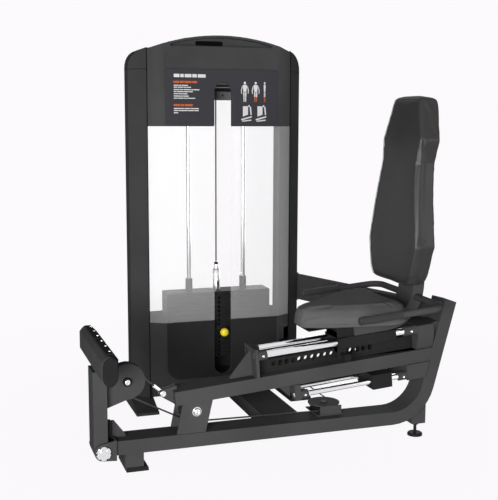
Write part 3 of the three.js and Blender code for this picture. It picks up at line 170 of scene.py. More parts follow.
def texture(finish, kind, scale, stretch=(1, 1, 1), **more):
    """A noise, cell or wave pattern on the piece's own coordinates, scale repeats to the metre."""
    tree = finish.node_tree
    place = tree.nodes.new("ShaderNodeTexCoord")
    turn = tree.nodes.new("ShaderNodeMapping")
    pattern = tree.nodes.new("ShaderNodeTex" + kind)
    turn.inputs["Scale"].default_value = stretch
    pattern.inputs["Scale"].default_value = scale
    for socket, value in more.items():
        pattern.inputs[socket].default_value = value
    tree.links.new(place.outputs["Object"], turn.inputs["Vector"])
    tree.links.new(turn.outputs[0], pattern.inputs["Vector"])
    return pattern.outputs[0]


def tint(finish, pattern, low, high, start=0.3, end=0.7):
    """Let the colour run from low to high as the pattern's value goes from start to end."""
    tree = finish.node_tree
    ramp = tree.nodes.new("ShaderNodeValToRGB")
    for stop, at, colour in zip(ramp.color_ramp.elements, (start, end), (low, high)):
        stop.position, stop.color = at, (*colour, 1)
    tree.links.new(pattern, ramp.inputs["Fac"])
    tree.links.new(ramp.outputs["Color"], tree.nodes["Principled BSDF"].inputs["Base Color"])


def dull(finish, pattern, low, high):
    """Let the roughness run from low to high with the pattern."""
    tree = finish.node_tree
    spread = tree.nodes.new("ShaderNodeMapRange")
    spread.inputs["From Min"].default_value, spread.inputs["From Max"].default_value = 0.3, 0.7
    spread.inputs["To Min"].default_value, spread.inputs["To Max"].default_value = low, high
    tree.links.new(pattern, spread.inputs["Value"])
    tree.links.new(spread.outputs[0], tree.nodes["Principled BSDF"].inputs["Roughness"])


def emboss(finish, pattern, depth):
    """Raise the surface by depth metres with the pattern; calls add up."""
    tree = finish.node_tree
    face = tree.nodes["Principled BSDF"].inputs["Normal"]
    bump = tree.nodes.new("ShaderNodeBump")
    bump.inputs["Distance"].default_value = depth
    if face.is_linked:
        tree.links.new(face.links[0].from_socket, bump.inputs["Normal"])
    tree.links.new(pattern, bump.inputs["Height"])
    tree.links.new(bump.outputs["Normal"], face)


def powder_coat(name, colour, roughness, film):
    """Powder coat: a slightly uneven tone, an orange-peel skin and fine grit, under a thin film
    of gloss."""
    finish = new_finish(
        name, colour, roughness, Specular_IOR_Level=0.0, Coat_Weight=film, Coat_Roughness=0.3,
    )
    tone = np.array(colour)
    tint(finish, texture(finish, "Noise", 5, Detail=3), tone * 0.9, tone * 1.1)
    dull(finish, texture(finish, "Noise", 26, Detail=4), roughness - 0.06, roughness + 0.06)
    emboss(finish, texture(finish, "Noise", 420, Detail=2), 0.00012)
    emboss(finish, texture(finish, "Noise", 1500, Detail=1), 0.00005)
    return finish


def gentle_turns():
    """Weld a solid's loose triangles and smooth every turn of less than 32 degrees."""
    group = bpy.data.node_groups.new("gentle_turns", "GeometryNodeTree")
    for way in ("INPUT", "OUTPUT"):
        group.interface.new_socket("Geometry", in_out=way, socket_type="NodeSocketGeometry")
    start, end = group.nodes.new("NodeGroupInput"), group.nodes.new("NodeGroupOutput")
    weld = group.nodes.new("GeometryNodeMergeByDistance")
    weld.inputs["Distance"].default_value = 0.00001
    plain = group.nodes.new("GeometryNodeRemoveAttribute")
    plain.inputs["Name"].default_value = "custom_normal"
    faces = group.nodes.new("GeometryNodeSetShadeSmooth")
    faces.inputs["Shade Smooth"].default_value = True
    edges = group.nodes.new("GeometryNodeSetShadeSmooth")
    edges.domain = "EDGE"
    edges.inputs["Shade Smooth"].default_value = False
    turn = group.nodes.new("GeometryNodeInputMeshEdgeAngle")
    steep = group.nodes.new("FunctionNodeCompare")
    steep.data_type, steep.operation = "FLOAT", "GREATER_THAN"
    steep.inputs[1].default_value = np.radians(32)
    group.links.new(start.outputs[0], weld.inputs["Geometry"])
    group.links.new(weld.outputs[0], plain.inputs["Geometry"])
    group.links.new(plain.outputs[0], faces.inputs["Geometry"])
    group.links.new(faces.outputs[0], edges.inputs["Geometry"])
    group.links.new(turn.outputs["Unsigned Angle"], steep.inputs[0])
    group.links.new(steep.outputs[0], edges.inputs["Selection"])
    group.links.new(edges.outputs[0], end.inputs[0])
    return group


smooth_turns = gentle_turns()
wide_ease = 0.005


def dress(names, finish, ease=0.0):
    """Give solids a finish, smooth round walls and edges eased by so much, in two flats where the
    easing is narrow and in five where it is wide."""
    for name in names.split():
        node = nodes[name]
        for slot in node.material_slots:
            slot.material = finish
        node.modifiers.new("smooth", "NODES").node_group = smooth_turns
        if ease:
            edge = node.modifiers.new("edge", "BEVEL")
            edge.width, edge.limit_method = ease, "ANGLE"
            edge.segments = 5 if ease > wide_ease else 2
            edge.angle_limit, edge.harden_normals = np.radians(40), True
            edge.use_clamp_overlap = False


frame_coat = powder_coat("frame_coat", (0.06, 0.06, 0.061), 0.5, 0.02)
dress("base_beam rail_tube cable_bracket foot_arm tower_brace cross_beam", frame_coat, 0.0009)
dress("back_bracket tower_base pulley_carrier redirect_bracket", frame_coat, 0.0009)
dress("foot_bar", frame_coat, 0.0078)
dress("handle_tube", frame_coat)


# Black working parts: the carriage, its lower block and the adjusting bar, in a darker and
# closer coat, and the rubber stop and foot.
black_coat = powder_coat("black_coat", (0.02, 0.02, 0.021), 0.42, 0.04)
dress("carriage lower_carriage adjusting_bar", black_coat, 0.0012)
rubber = new_finish("rubber", (0.016, 0.016, 0.016), 0.8, Specular_IOR_Level=0.08)
emboss(rubber, texture(rubber, "Noise", 900, Detail=3), 0.00015)
dull(rubber, texture(rubber, "Noise", 30, Detail=3), 0.7, 0.86)
dress("stop_bumper levelling_foot", rubber, 0.001)


# Hard chrome on the seat rods, the weight guides, the pivot caps and the cable's end fitting.
chrome = new_finish("chrome", (0.78, 0.79, 0.8), 0.09, Metallic=1.0)
dull(chrome, texture(chrome, "Noise", 60, stretch=(0.2, 4, 4), Detail=3), 0.06, 0.14)
emboss(chrome, texture(chrome, "Noise", 900, Detail=1), 0.00001)
dress("upper_rod_near upper_rod_far lower_rod_near lower_rod_far", chrome, 0.001)
dress("guide_rod_left guide_rod_right", chrome)
dress("pivot_shaft cable_anchor", chrome, 0.0008)


# Moulded black nylon: the six pulleys, the seat pin and the two foot plates.
nylon = new_finish(
    "nylon", (0.017, 0.017, 0.018), 0.5, Specular_IOR_Level=0.0, Coat_Weight=0.03,
    Coat_Roughness=0.35,
)
emboss(nylon, texture(nylon, "Voronoi", 1300), 0.00004)
dull(nylon, texture(nylon, "Noise", 40, Detail=3), 0.38, 0.52)
dress("arm_pulley guide_pulley redirect_pulley tower_pulley", nylon, 0.0006)
dress("head_pulley_inner head_pulley_outer seat_pin", nylon, 0.0006)
dress("tread_near tread_far", nylon, 0.0012)


# The tower's skin: folded sheet columns and moulded covers in a fine textured charcoal coat, and
# the placard's smoother dark panel between them.
tower_coat = powder_coat("tower_coat", (0.046, 0.046, 0.047), 0.5, 0.02)
dress("left_column right_column", tower_coat, 0.0016)
cover_coat = powder_coat("cover_coat", (0.052, 0.052, 0.053), 0.48, 0.02)
dress("head_cover lower_cover", cover_coat, 0.0014)
placard_face = new_finish(
    "placard_face", (0.042, 0.042, 0.048), 0.55, Specular_IOR_Level=0.0, Coat_Weight=0.04,
    Coat_Roughness=0.3,
)
emboss(placard_face, texture(placard_face, "Noise", 700, Detail=2), 0.00004)
dull(placard_face, texture(placard_face, "Noise", 12, Detail=3), 0.5, 0.6)
dress("placard_panel", placard_face, 0.0006)


# The shields: milky plastic sheets in front of and behind the weight stack, that pass the
# light of the wall and blur what stands behind them.
milky = new_finish(
    "milky_sheet", (0.96, 0.96, 0.965), 0.35, Specular_IOR_Level=0.1, Alpha=0.14,
)
dull(milky, texture(milky, "Noise", 8, Detail=3), 0.3, 0.4)
dress("left_shield right_shield", milky)
clear_back = new_finish(
    "milky_back", (0.96, 0.96, 0.965), 0.35, Specular_IOR_Level=0.05, Alpha=0.04,
)
dull(clear_back, texture(clear_back, "Noise", 8, Detail=3), 0.3, 0.4)
dress("rear_cover", clear_back)


# The weight stack: ground steel plates under black oxide, drilled for the selector, that ride
# on two guide rods.
plate_black = new_finish(
    "plate_black", (0.013, 0.013, 0.0135), 0.5, Specular_IOR_Level=0.1, Coat_Weight=0.05,
    Coat_Roughness=0.25,
)
tint(plate_black, texture(plate_black, "Noise", 30, Detail=4), (0.01,) * 3, (0.018,) * 3)
emboss(plate_black, texture(plate_black, "Noise", 600, stretch=(0.15, 1, 3), Detail=2), 0.00006)
lifted_plates = " ".join(f"plate_{i}" for i in range(1, 9))
dress("head_plate parked_plates " + lifted_plates, plate_black, 0.0008)


# The seat cushion and the backrest: foam on a board under soft grained black vinyl, with a
# piping sewn round the seam. Each starts as a lofted skin a little under size, which the cloth
# simulation blows out between its seams.
footprint_middle = (659.067, 305.75, 0)
rail_start, rail_height, slope = 252, 270, np.radians(4.83)


def placed(points):
    """Millimetres from the arm's pivot, the beam's middle line and the floor, to metres from the
    middle of the footprint."""
    return (np.asarray(points, float) - footprint_middle) / 1000


def on_rail(points):
    """Millimetres along, across and above the rail's top face, turned up by its slope."""
    along, across, rise = np.moveaxis(np.asarray(points, float), -1, 0)
    return placed(np.stack([
        rail_start + along * np.cos(slope) - rise * np.sin(slope), across,
        rail_height + along * np.sin(slope) + rise * np.cos(slope),
    ], -1))


def closed_skin(rings):
    """Points and faces of a closed skin over rings[i, j]: a quad between neighbours round the
    rings and from ring to ring, and one face over each end."""
    rows, columns = rings.shape[:2]
    index = np.arange(rows * columns).reshape(rows, columns)
    beside = np.roll(index, -1, axis=1)
    quads = np.stack([index[:-1], beside[:-1], beside[1:], index[1:]], -1).reshape(-1, 4)
    return rings.reshape(-1, 3), quads.tolist() + [index[0, ::-1].tolist(), index[-1].tolist()]


def piece(name, skins, body, finish, round_to=32):
    """One object of several closed skins, with its faces turned outwards and gentle turns
    smoothed, that rides on a body where one is named."""
    points, faces, count = [], [], 0
    for skin_points, skin_faces in skins:
        points.append(skin_points)
        faces += [[corner + count for corner in face] for face in skin_faces]
        count += len(skin_points)
    mesh = bpy.data.meshes.new(name)
    mesh.from_pydata(np.concatenate(points).tolist(), [], faces)
    edit = bmesh.new()
    edit.from_mesh(mesh)
    bmesh.ops.remove_doubles(edit, verts=edit.verts, dist=0.000002)
    bmesh.ops.recalc_face_normals(edit, faces=edit.faces)
    edit.to_mesh(mesh)
    edit.free()
    mesh.shade_smooth()
    mesh.set_sharp_from_angle(angle=np.radians(round_to))
    mesh.materials.append(finish)
    made = bpy.data.objects.new(name, mesh)
    bpy.context.scene.collection.objects.link(made)
    if body:
        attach(made, body)
    return made


def tube(path, radius, sides=16):
    """Rings of a round tube along a path: each ring stands square to the path's direction, and
    is turned to keep one side towards the path's own flat side."""
    path = np.asarray(path, float)
    ahead = np.gradient(path, axis=0)
    ahead /= np.linalg.norm(ahead, axis=1, keepdims=True)
    spread = path - path.mean(0)
    flat = np.linalg.svd(spread, full_matrices=False)[2][2]
    side = np.cross(ahead, flat)
    side /= np.linalg.norm(side, axis=1, keepdims=True)
    other = np.cross(ahead, side)
    angle = np.linspace(0, 2 * np.pi, sides, endpoint=False)[None, :, None]
    size = np.broadcast_to(np.asarray(radius, float), len(path))[:, None, None]
    return path[:, None] + size * (np.cos(angle) * side[:, None] + np.sin(angle) * other[:, None])


def pillow(rows, lay, upper, lower, flat=0.0, steps=120, turn=10):
    """Rings of a cushion: rows give a place along it, half width and the two faces, filled in
    evenly; each ring is a rectangle whose corners are cut back, by so much across and so much
    deep, on a quarter of an ellipse; flat turns the lower two into straight slopes by its share."""
    rows = np.asarray(rows, float)
    along = np.linspace(rows[0, 0], rows[-1, 0], steps)
    wide, low, high = (np.interp(along, rows[:, 0], rows[:, k])[:, None] for k in (1, 2, 3))
    angle = np.linspace(0, np.pi / 2, turn)
    share = angle / angle[-1]
    shapes = []
    for (run, rise), straight in ((upper, 0), (lower, flat)):
        run = np.minimum(run, wide - 1)
        rise = np.minimum(rise, (high - low) / 2 - 1)
        inward = (1 - straight) * (1 - np.cos(angle)) + straight * share
        onward = (1 - straight) * (1 - np.sin(angle)) + straight * (1 - share)
        shapes.append((wide - run * inward, rise * onward))
    (top_wide, top_drop), (foot_wide, foot_rise) = shapes
    across = np.hstack([top_wide, -top_wide[:, ::-1], -foot_wide, foot_wide[:, ::-1]])
    deep = np.hstack([
        high - top_drop, (high - top_drop)[:, ::-1], low + foot_rise, (low + foot_rise)[:, ::-1],
    ])
    return lay(np.stack([along[:, None] + 0 * across, across, deep], -1))


def vinyl(name, tone, film):
    """Grained vinyl: a tone that wanders by a tenth, a leather grain over gentle dimples, and a
    film of gloss that catches the light along the rolled edges."""
    finish = new_finish(
        name, (tone,) * 3, 0.5, Specular_IOR_Level=0.0, Coat_Weight=film, Coat_Roughness=0.4,
    )
    tint(finish, texture(finish, "Noise", 7, Detail=4), (tone * 0.9,) * 3, (tone * 1.1,) * 3)
    dull(finish, texture(finish, "Noise", 14, Detail=4), 0.42, 0.54)
    emboss(finish, texture(finish, "Voronoi", 620), 0.00022)
    emboss(finish, texture(finish, "Noise", 90, Detail=3), 0.0003)
    return finish


# One black vinyl covers both pads. The seat's copy is painted lighter, as painted light on its
# rolled side, and the backrest's copy darker, as painted shade on its front, under a stronger gloss
# film.
seat_vinyl_painted_light, back_vinyl_painted_shade = vinyl("seat_vinyl_painted_light", 0.1, 0.03), vinyl("back_vinyl_painted_shade", 0.023, 0.5)
skin_grid, held_reach, eased_reach, blowing_steps = 0.005, 0.005, 0.012, 20


def stuffed(name, rings, seam, node, puff, cover):
    """A padded piece: its skin is remeshed evenly, held at the seam, blown out like cloth with
    no weight, kept within puff metres of its start, and then smoothed."""
    made = piece(
        name, [closed_skin(rings)], "seat_carriage", cover, round_to=180,
    )
    even = made.modifiers.new("even", "REMESH")
    even.mode, even.voxel_size = "VOXEL", skin_grid
    graph = bpy.context.evaluated_depsgraph_get()
    skin = bpy.data.meshes.new_from_object(made.evaluated_get(graph))
    made.modifiers.remove(even)
    made.data = skin
    skin.shade_smooth()
    if not skin.materials:
        skin.materials.append(cover)
    start = np.zeros(len(skin.vertices) * 3, np.float32)
    skin.vertices.foreach_get("co", start)
    start = start.reshape(-1, 3)
    gap = np.min([np.linalg.norm(start - point, axis=1) for point in seam], axis=0)
    held = made.vertex_groups.new(name="seam")
    close, around = gap < held_reach, (gap >= held_reach) & (gap < eased_reach)
    for weight, chosen in ((1.0, close), (0.5, around)):
        held.add(np.flatnonzero(chosen).tolist(), weight, "REPLACE")
    cloth = made.modifiers.new("cloth", "CLOTH")
    cloth.settings.use_pressure = True
    cloth.settings.uniform_pressure_force = 4
    cloth.settings.effector_weights.gravity = 0
    cloth.settings.quality = 6
    cloth.settings.tension_stiffness = cloth.settings.compression_stiffness = 25
    cloth.settings.vertex_group_mass = "seam"
    for step in range(1, blowing_steps + 1):
        bpy.context.scene.frame_set(step)
    graph = bpy.context.evaluated_depsgraph_get()
    blown = bpy.data.meshes.new_from_object(made.evaluated_get(graph))
    end = np.zeros_like(start).ravel()
    blown.vertices.foreach_get("co", end)
    move = end.reshape(-1, 3) - start
    size = np.linalg.norm(move, axis=1, keepdims=True)
    move *= np.minimum(1, puff / np.maximum(size, 1e-9))
    made.modifiers.remove(cloth)
    made.vertex_groups.clear()
    skin.vertices.foreach_set("co", (start + move).ravel())
    bpy.context.scene.frame_set(1)
    soften = made.modifiers.new("soften", "SMOOTH")
    soften.factor, soften.iterations = 0.5, 3
    round_off = made.modifiers.new("round", "SUBSURF")
    round_off.levels = round_off.render_levels = 1
    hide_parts(node)
    return made


seat_rows = [
    (484, 22, 158, 196), (487, 34, 153, 208), (492, 42, 150, 216), (500, 51, 149, 220),
    (530, 72, 149, 220), (577, 102, 149, 220), (633, 133, 149, 220), (690, 163, 149, 220),
    (740, 187, 149, 220), (770, 196, 149, 220), (800, 197, 149, 220), (820, 191, 149, 220),
    (836, 177, 150, 218), (845, 160, 153, 213), (848, 148, 158, 205),
]
back_rows = [
    (611, 132, 1092, 1146), (615, 140, 1087, 1155), (627, 149, 1085, 1161),
    (650, 164, 1085, 1164), (700, 178, 1087.5, 1167), (755, 193, 1091, 1170.5),
    (850, 176, 1096, 1175), (925, 160, 1100, 1179.5), (1000, 146, 1107, 1186.5),
    (1050, 138, 1113, 1192.5), (1095, 145, 1118, 1197.5), (1135, 153, 1123, 1202.5),
    (1185, 135, 1129, 1208.5), (1235, 119, 1136, 1213.5), (1270, 108, 1140, 1214),
    (1283, 103, 1144, 1208), (1287, 96, 1151, 1198),
]


def upright_pad(points):
    """Points of a standing pad, given by height, side and depth from its front face's line."""
    height, across, depth = np.moveaxis(points, -1, 0)
    return placed(np.stack([depth, -across, height], -1))


def round_seam(rows, lay, share, inset=0.0):
    """The line round a cushion at a share of its thickness, an inset in from its sides: along
    one side and back the other."""
    rows = np.asarray(rows, float)
    along = np.linspace(rows[0, 0] + 1 + inset / 2, rows[-1, 0] - 1 - inset / 2, 90)
    wide, low, high = (np.interp(along, rows[:, 0], rows[:, k]) for k in (1, 2, 3))
    wide = wide - inset
    level = low + share * (high - low)
    go = lay(np.stack([along, wide, level], -1))
    back = lay(np.stack([along, -wide, level], -1))[::-1]
    return np.concatenate([go, back, go[:1]])


seat_seam = round_seam(seat_rows, on_rail, 0.2)
back_seam = round_seam(back_rows, upright_pad, 0.0, 15)
seat_skin = pillow(seat_rows, on_rail, (34, 34), (8, 8))
back_skin = pillow(back_rows, upright_pad, (5, 5), (15, 24), flat=0.85)
stuffed("seat", seat_skin, seat_seam, "seat_cushion", 0.006, seat_vinyl_painted_light)
stuffed("backrest", back_skin, back_seam, "back_pad", 0.004, back_vinyl_painted_shade)
for name, line, thick, cover in (
    ("seat_piping", seat_seam, 0.0018, seat_vinyl_painted_light),
    ("backrest_piping", back_seam, 0.001, back_vinyl_painted_shade),
):
    piece(name, [closed_skin(tube(line, thick, 10))], "seat_carriage", cover)


# The hand grips: rubber sleeves pushed over the handle's two ends, with a lip at the open end,
# a domed tip and fine rings moulded round them.
grip_rubber = new_finish("grip_rubber", (0.019, 0.019, 0.019), 0.7, Specular_IOR_Level=0.35)
emboss(grip_rubber, texture(grip_rubber, "Noise", 1100, Detail=2), 0.0001)
dull(grip_rubber, texture(grip_rubber, "Noise", 22, Detail=3), 0.62, 0.78)
sleeve_radius, lip_radius, ring_pitch, ring_height = 15.2, 16.2, 5, 0.25
sleeve_tip, sleeve_start, sleeve_end, sleeve_level = 611, 620, 769, 205
dome_steps, dome_length, lip_steps = 8, 8, 6
for name, side in (("near", -265), ("far", 265)):
    dome = sleeve_tip + dome_length * (1 - np.cos(np.linspace(0, np.pi / 2, dome_steps)))
    along = np.concatenate([dome, np.linspace(sleeve_start, sleeve_end, 200)])
    radius = sleeve_radius + ring_height * np.sin(2 * np.pi * along / ring_pitch)
    radius[:dome_steps] = sleeve_radius * np.sqrt(1 - (1 - np.linspace(0.15, 1, dome_steps)) ** 2)
    radius[-lip_steps:] = lip_radius
    centre = np.stack([along, 0 * along + side, 0 * along + sleeve_level], -1)
    angle = np.linspace(0, 2 * np.pi, 32, endpoint=False)
    round_it = np.stack([0 * angle, np.cos(angle), np.sin(angle)], -1)
    rings = on_rail(centre[:, None] + radius[:, None, None] * round_it)
    grip = piece(
        f"grip_sleeve_{name}", [closed_skin(rings)], "seat_carriage", grip_rubber,
    )
    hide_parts(f"grip_{name}")


# The selector pin: a steel pin in a bright yellow moulded knob.
def turned(profile, sides=40):
    """Rings of a turned piece: a radius and a height for each step; where the third value is 1
    the ring is a hexagon of that inner radius, as in a socket."""
    radius, height, six = (np.array(column, float)[:, None] for column in zip(*profile))
    angle = np.linspace(0, 2 * np.pi, sides, endpoint=False)
    flats = 1 / np.cos((angle % (np.pi / 3)) - np.pi / 6)
    reach = radius * (1 - six + six * flats)
    return np.stack([reach * np.cos(angle), reach * np.sin(angle), height + 0 * angle], -1)


def aimed(rings, centre, axis):
    """Turn rings from z to an axis and set them at a centre, both in machine millimetres."""
    axis = np.asarray(axis, float) / np.linalg.norm(axis)
    other = np.cross(axis, (0.3, 0.9, 0.31) if abs(axis[0]) > 0.5 else (0.9, 0.3, 0.31))
    other /= np.linalg.norm(other)
    return rings @ np.stack([np.cross(other, axis), other, axis]) + centre


def lathed(profile, foot, axis):
    """The closed skin of a turned profile that stands on a foot along an axis."""
    return closed_skin(placed(aimed(turned(profile), foot, axis)))


knob_yellow = new_finish(
    "knob_yellow", (0.95, 0.76, 0.01), 0.3, Coat_Weight=0.3, Coat_Roughness=0.2,
)
knob_clouds = texture(knob_yellow, "Noise", 60, Detail=2)
tint(knob_yellow, knob_clouds, (0.93, 0.72, 0.01), (0.98, 0.82, 0.015))
dull(knob_yellow, texture(knob_yellow, "Noise", 90, Detail=3), 0.26, 0.36)
near = (0, -1, 0)
stack_x, stack_y, tower_front = 622, 700, 600
stack_bottom, plate_pitch, parked_levels, plate_gap = 196, 19, 6, 0.3
pin_level = stack_bottom + parked_levels * plate_pitch + (plate_pitch - plate_gap) / 2
pin_foot = (stack_x, tower_front - 6, pin_level)
knob_radius, knob_half, neck_radius = 18, 17, 9
swell = np.linspace(0, np.pi, 14)
knob = [(0.8, 2 * knob_half, 0)] + [
    (knob_radius * np.sin(a) ** 0.9, knob_half + knob_half * np.cos(a), 0) for a in swell[1:-3]
] + [(neck_radius, 1.2, 0), (neck_radius, 0.2, 0)]
yellow = piece("knob", [lathed(knob, pin_foot, near)], "selector_pin", knob_yellow)
shaft = [(5, 0, 0), (5, -110, 0), (3.6, -112, 0)]
piece("pin_shaft", [lathed(shaft, pin_foot, near)], "selector_pin", chrome)
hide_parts("selector_pin")


# The cable: black nylon over wire rope, 6 mm thick. Its run over the arm's pulley follows the
# arm between the frame's two ends, and its drop to the stack shortens as the weights rise.
cable_coat = new_finish("cable_coat", (0.013, 0.013, 0.013), 0.32, Specular_IOR_Level=0.5)
emboss(cable_coat, texture(cable_coat, "Noise", 500, Detail=2), 0.0001)
dull(cable_coat, texture(cable_coat, "Noise", 50, Detail=2), 0.28, 0.4)


def touch_angle(centre, radius, point, side):
    """Where a line through a point touches a circle, as an angle at the circle's centre."""
    across, up = point[0] - centre[0], point[1] - centre[1]
    return np.arctan2(up, across) + side * np.arccos(radius / np.hypot(across, up))


def arc(centre, radius, start, end, count):
    """Points of a circle's arc from one angle to another, in the x-z plane."""
    angle = np.linspace(start, end, count)
    across, up = centre[0] + radius * np.cos(angle), centre[1] + radius * np.sin(angle)
    return np.stack([across, 0 * angle, up], -1)


cable_radius = 3


def cable(name, path, body, sides=16):
    """A length of the cable along a path, on one body, or on none where it is to be blended."""
    skin = closed_skin(placed(tube(path, cable_radius, sides)))
    return piece(name, [skin], body, cable_coat)


anchor_back, anchor_drop, anchor_shank = 34.7, 7.1, 40.3
anchor = (
    rail_start - anchor_back * np.cos(slope) + anchor_drop * np.sin(slope),
    rail_height - anchor_back * np.sin(slope) - anchor_drop * np.cos(slope),
)
arm_centre, guide_centre = (92, 314), (331, 194)
arm_turn, guide_turn, flat_turn = 46, 50, 51
leave = touch_angle(arm_centre, arm_turn, anchor, 1)
run_up = np.array([-np.sin(leave), 0, np.cos(leave)])
span = np.subtract(guide_centre, arm_centre)
join = np.arctan2(span[1], span[0]) - np.arccos((arm_turn - guide_turn) / np.hypot(*span))
run_down = np.array([-np.sin(join), 0, np.cos(join)])
wrap = arc(arm_centre, arm_turn, leave, join + 2 * np.pi, 60)
anchor_end = np.array([anchor[0], 0, anchor[1]]) + anchor_shank * run_up
guide_touch = arc(guide_centre, guide_turn, join, join, 1)[0]
upper = np.linspace(anchor_end, wrap[0], 40)
lower = np.linspace(wrap[-1], guide_touch - 0.6 * run_down, 60)
first = cable("cable_to_arm", upper, None)
round_arm = cable("cable_round_arm", wrap, "foot_arm")
second = cable("cable_from_arm", lower, None)
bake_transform(first)
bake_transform(second)
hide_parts("arm_cable")
drop_steps, drop_foot, drop_top = 80, 601.3, 1419.4
drop = np.stack([
    np.full(drop_steps, stack_x), np.full(drop_steps, stack_y),
    np.linspace(drop_foot, drop_top, drop_steps),
], -1)
# A dead straight line has no flat side to keep, so a thousandth of a millimetre of waver gives one.
waver = np.sin(np.arange(drop_steps))[:, None] * 0.001
falling = cable("cable_to_stack", drop + waver, None)
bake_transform(falling)
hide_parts("stack_cable")


def rounded_route(corners, bends, spacing=6):
    """A line from corner to corner that turns each corner on an arc of its bend's radius, with
    points at an even spacing along it."""
    corners = np.asarray(corners, float)
    line = [corners[:1]]
    for before, here, after, bend in zip(corners, corners[1:], corners[2:], bends):
        into = (here - before) / np.linalg.norm(here - before)
        out = (after - here) / np.linalg.norm(after - here)
        turn = np.arccos(np.clip(into @ out, -1, 1))
        side = (out - into * (into @ out)) / np.sin(turn)
        centre = here - into * bend * np.tan(turn / 2) + side * bend
        angle = np.linspace(0, turn, 24)[:, None]
        line.append(centre + bend * (into * np.sin(angle) - side * np.cos(angle)))
    line = np.concatenate(line + [corners[-1:]])
    length = np.append(0, np.cumsum(np.linalg.norm(np.diff(line, axis=0), axis=1)))
    even = np.linspace(0, length[-1], int(length[-1] / spacing))
    return np.stack([np.interp(even, length, line[:, k]) for k in range(3)], 1)


riser_x, beam_level, head_level, head_exit = 903, 133, 1471, 1419.7
turn_here = touch_angle(guide_centre, guide_turn, (riser_x, beam_level), -1) - join
long_run = rounded_route([
    guide_touch - 0.3 * run_down, guide_touch + run_down * guide_turn * np.tan(turn_here / 2),
    (riser_x, 0, beam_level), (riser_x, stack_y, beam_level), (riser_x, stack_y, head_level),
    (stack_x, stack_y, head_level), (stack_x, stack_y, head_exit),
], [guide_turn] + [flat_turn] * 4)
long_cable = cable("cable_to_head", long_run, "frame", sides=12)
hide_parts("main_cable")


# Fasteners: plated button-head screws with a hexagon socket, on the cable bracket, the arm's
# pulley, the cable's anchor, the pivot, the foot plates and the rods' collars.
def screw(foot, axis, radius, height, socket, deep):
    """A button head on a surface: from the socket's floor up its six walls, over the domed rim
    and down to the foot, turned about the axis that leads out of the surface."""
    dome = np.linspace(0, np.pi / 2, 6)
    rim = [
        (radius - height * 0.7 * (1 - np.sin(a)), height * (0.3 + 0.7 * np.cos(a)), 0) for a in dome
    ]
    profile = [
        (socket, height - deep, 1), (socket, height - 0.2, 1), (socket + 0.4, height, 0),
        *rim, (radius, 0, 0),
    ]
    return lathed(profile, foot, axis)


def disc(foot, axis, radius, height):
    """A washer: a flat round plate with its upper rim eased."""
    rim = 0.6
    profile = [(radius, 0, 0), (radius, height - rim, 0), (radius - rim, height, 0)]
    return lathed(profile, foot, axis)


guide_bolt = (guide_centre[0], -48, guide_centre[1])
piece("bracket_bolt", [
    disc(guide_bolt, near, 17, 2), screw(guide_bolt, near, 14, 13, 6, 3.4),
], "frame", chrome)
anchor_side = (anchor[0], -23.3, anchor[1])
piece("anchor_bolt", [screw(anchor_side, near, 9, 3.5, 4, 3)], "frame", chrome)
pivot_cap = (0, -70.3, 85)
piece("pivot_face", [screw(pivot_cap, near, 15.5, 3.4, 7.5, 3)], "frame", chrome)
pulley_rings, pulley_bolts = [], []
arm_x, arm_z = arm_centre
washer_side, bolt_side = 18, 27.8
for side in (-1, 1):
    pulley_rings.append(disc((arm_x, side * washer_side, arm_z), (0, side, 0), 15, 9.8))
    pulley_bolts.append(screw((arm_x, side * bolt_side, arm_z), (0, side, 0), 10, 5, 4, 3))
piece("pulley_washers", pulley_rings, "foot_arm", nylon)
piece("pulley_bolts", pulley_bolts, "foot_arm", chrome)
tread_middle, tread_top, screw_places = 4, 468.3, (40, 115, 190)
piece("foot_plate_screws", [
    screw((tread_middle, side * place, tread_top), (0, 0, 1), 4.2, 2.2, 2, 1.5)
    for side in (-1, 1) for place in screw_places
], "foot_arm", chrome)


def rail_screw(along, side, reach, height):
    """A small set screw in the side of a rod's collar."""
    foot, tip = on_rail([(along, side * reach, height), (along, side * (reach + 1), height)])
    origin = placed([0, 0, 0])
    return screw((foot - origin) * 1000, tip - foot, 4.5, 2, 2.2, 1.6)


collars = ((327, 62.6, 79), (912, 62.6, 79), (476, 60.6, -90), (871, 60.6, -90))
piece("collar_screws", [
    rail_screw(along, side, reach, height) for along, reach, height in collars for side in (-1, 1)
], "frame", chrome)


# The foot bar's end plugs: black caps pushed into the tube's two ends, with eased corners.
def plate(outline, front, back, eased=1.2):
    """A flat plate from an outline of across and up: the outline at the back face, again just
    under the front face, and drawn in by the easing at the front face itself."""
    outline = np.asarray(outline, float)
    before, after = outline - np.roll(outline, 1, 0), np.roll(outline, -1, 0) - outline
    before /= np.linalg.norm(before, axis=1, keepdims=True)
    after /= np.linalg.norm(after, axis=1, keepdims=True)
    across, up = outline.T
    turn = np.sign(np.sum(across * np.roll(up, -1) - up * np.roll(across, -1)))
    both = before + after
    inward = turn * np.stack([-both[:, 1], both[:, 0]], 1)
    square = turn * np.stack([-after[:, 1], after[:, 0]], 1)
    inward /= np.maximum(np.sum(inward * square, 1, keepdims=True), 0.3)
    way = np.sign(back - front)
    rows = ((0, back), (0, front + way * eased), (eased, front))
    rings = [
        np.stack([line[:, 0], np.full(len(line), depth), line[:, 1]], -1)
        for line, depth in ((outline + pull * inward, depth) for pull, depth in rows)
    ]
    return np.stack(rings)


plug_line = np.array([
    (-28.5, 384), (-11, 366.5), (3, 366.5), (20.5, 384),
    (20.5, 444), (3, 461.5), (-11, 461.5), (-28.5, 444),
])
large, small = 0.82, 0.18
for _ in range(2):
    following = np.roll(plug_line, -1, 0)
    plug_line = np.stack([
        large * plug_line + small * following, small * plug_line + large * following,
    ], 1).reshape(-1, 2)
plug_face, plug_back = 248.5, 244
piece("foot_bar_plugs", [
    closed_skin(placed(plate(plug_line, side * plug_face, side * plug_back))) for side in (-1, 1)
], "foot_arm", nylon)


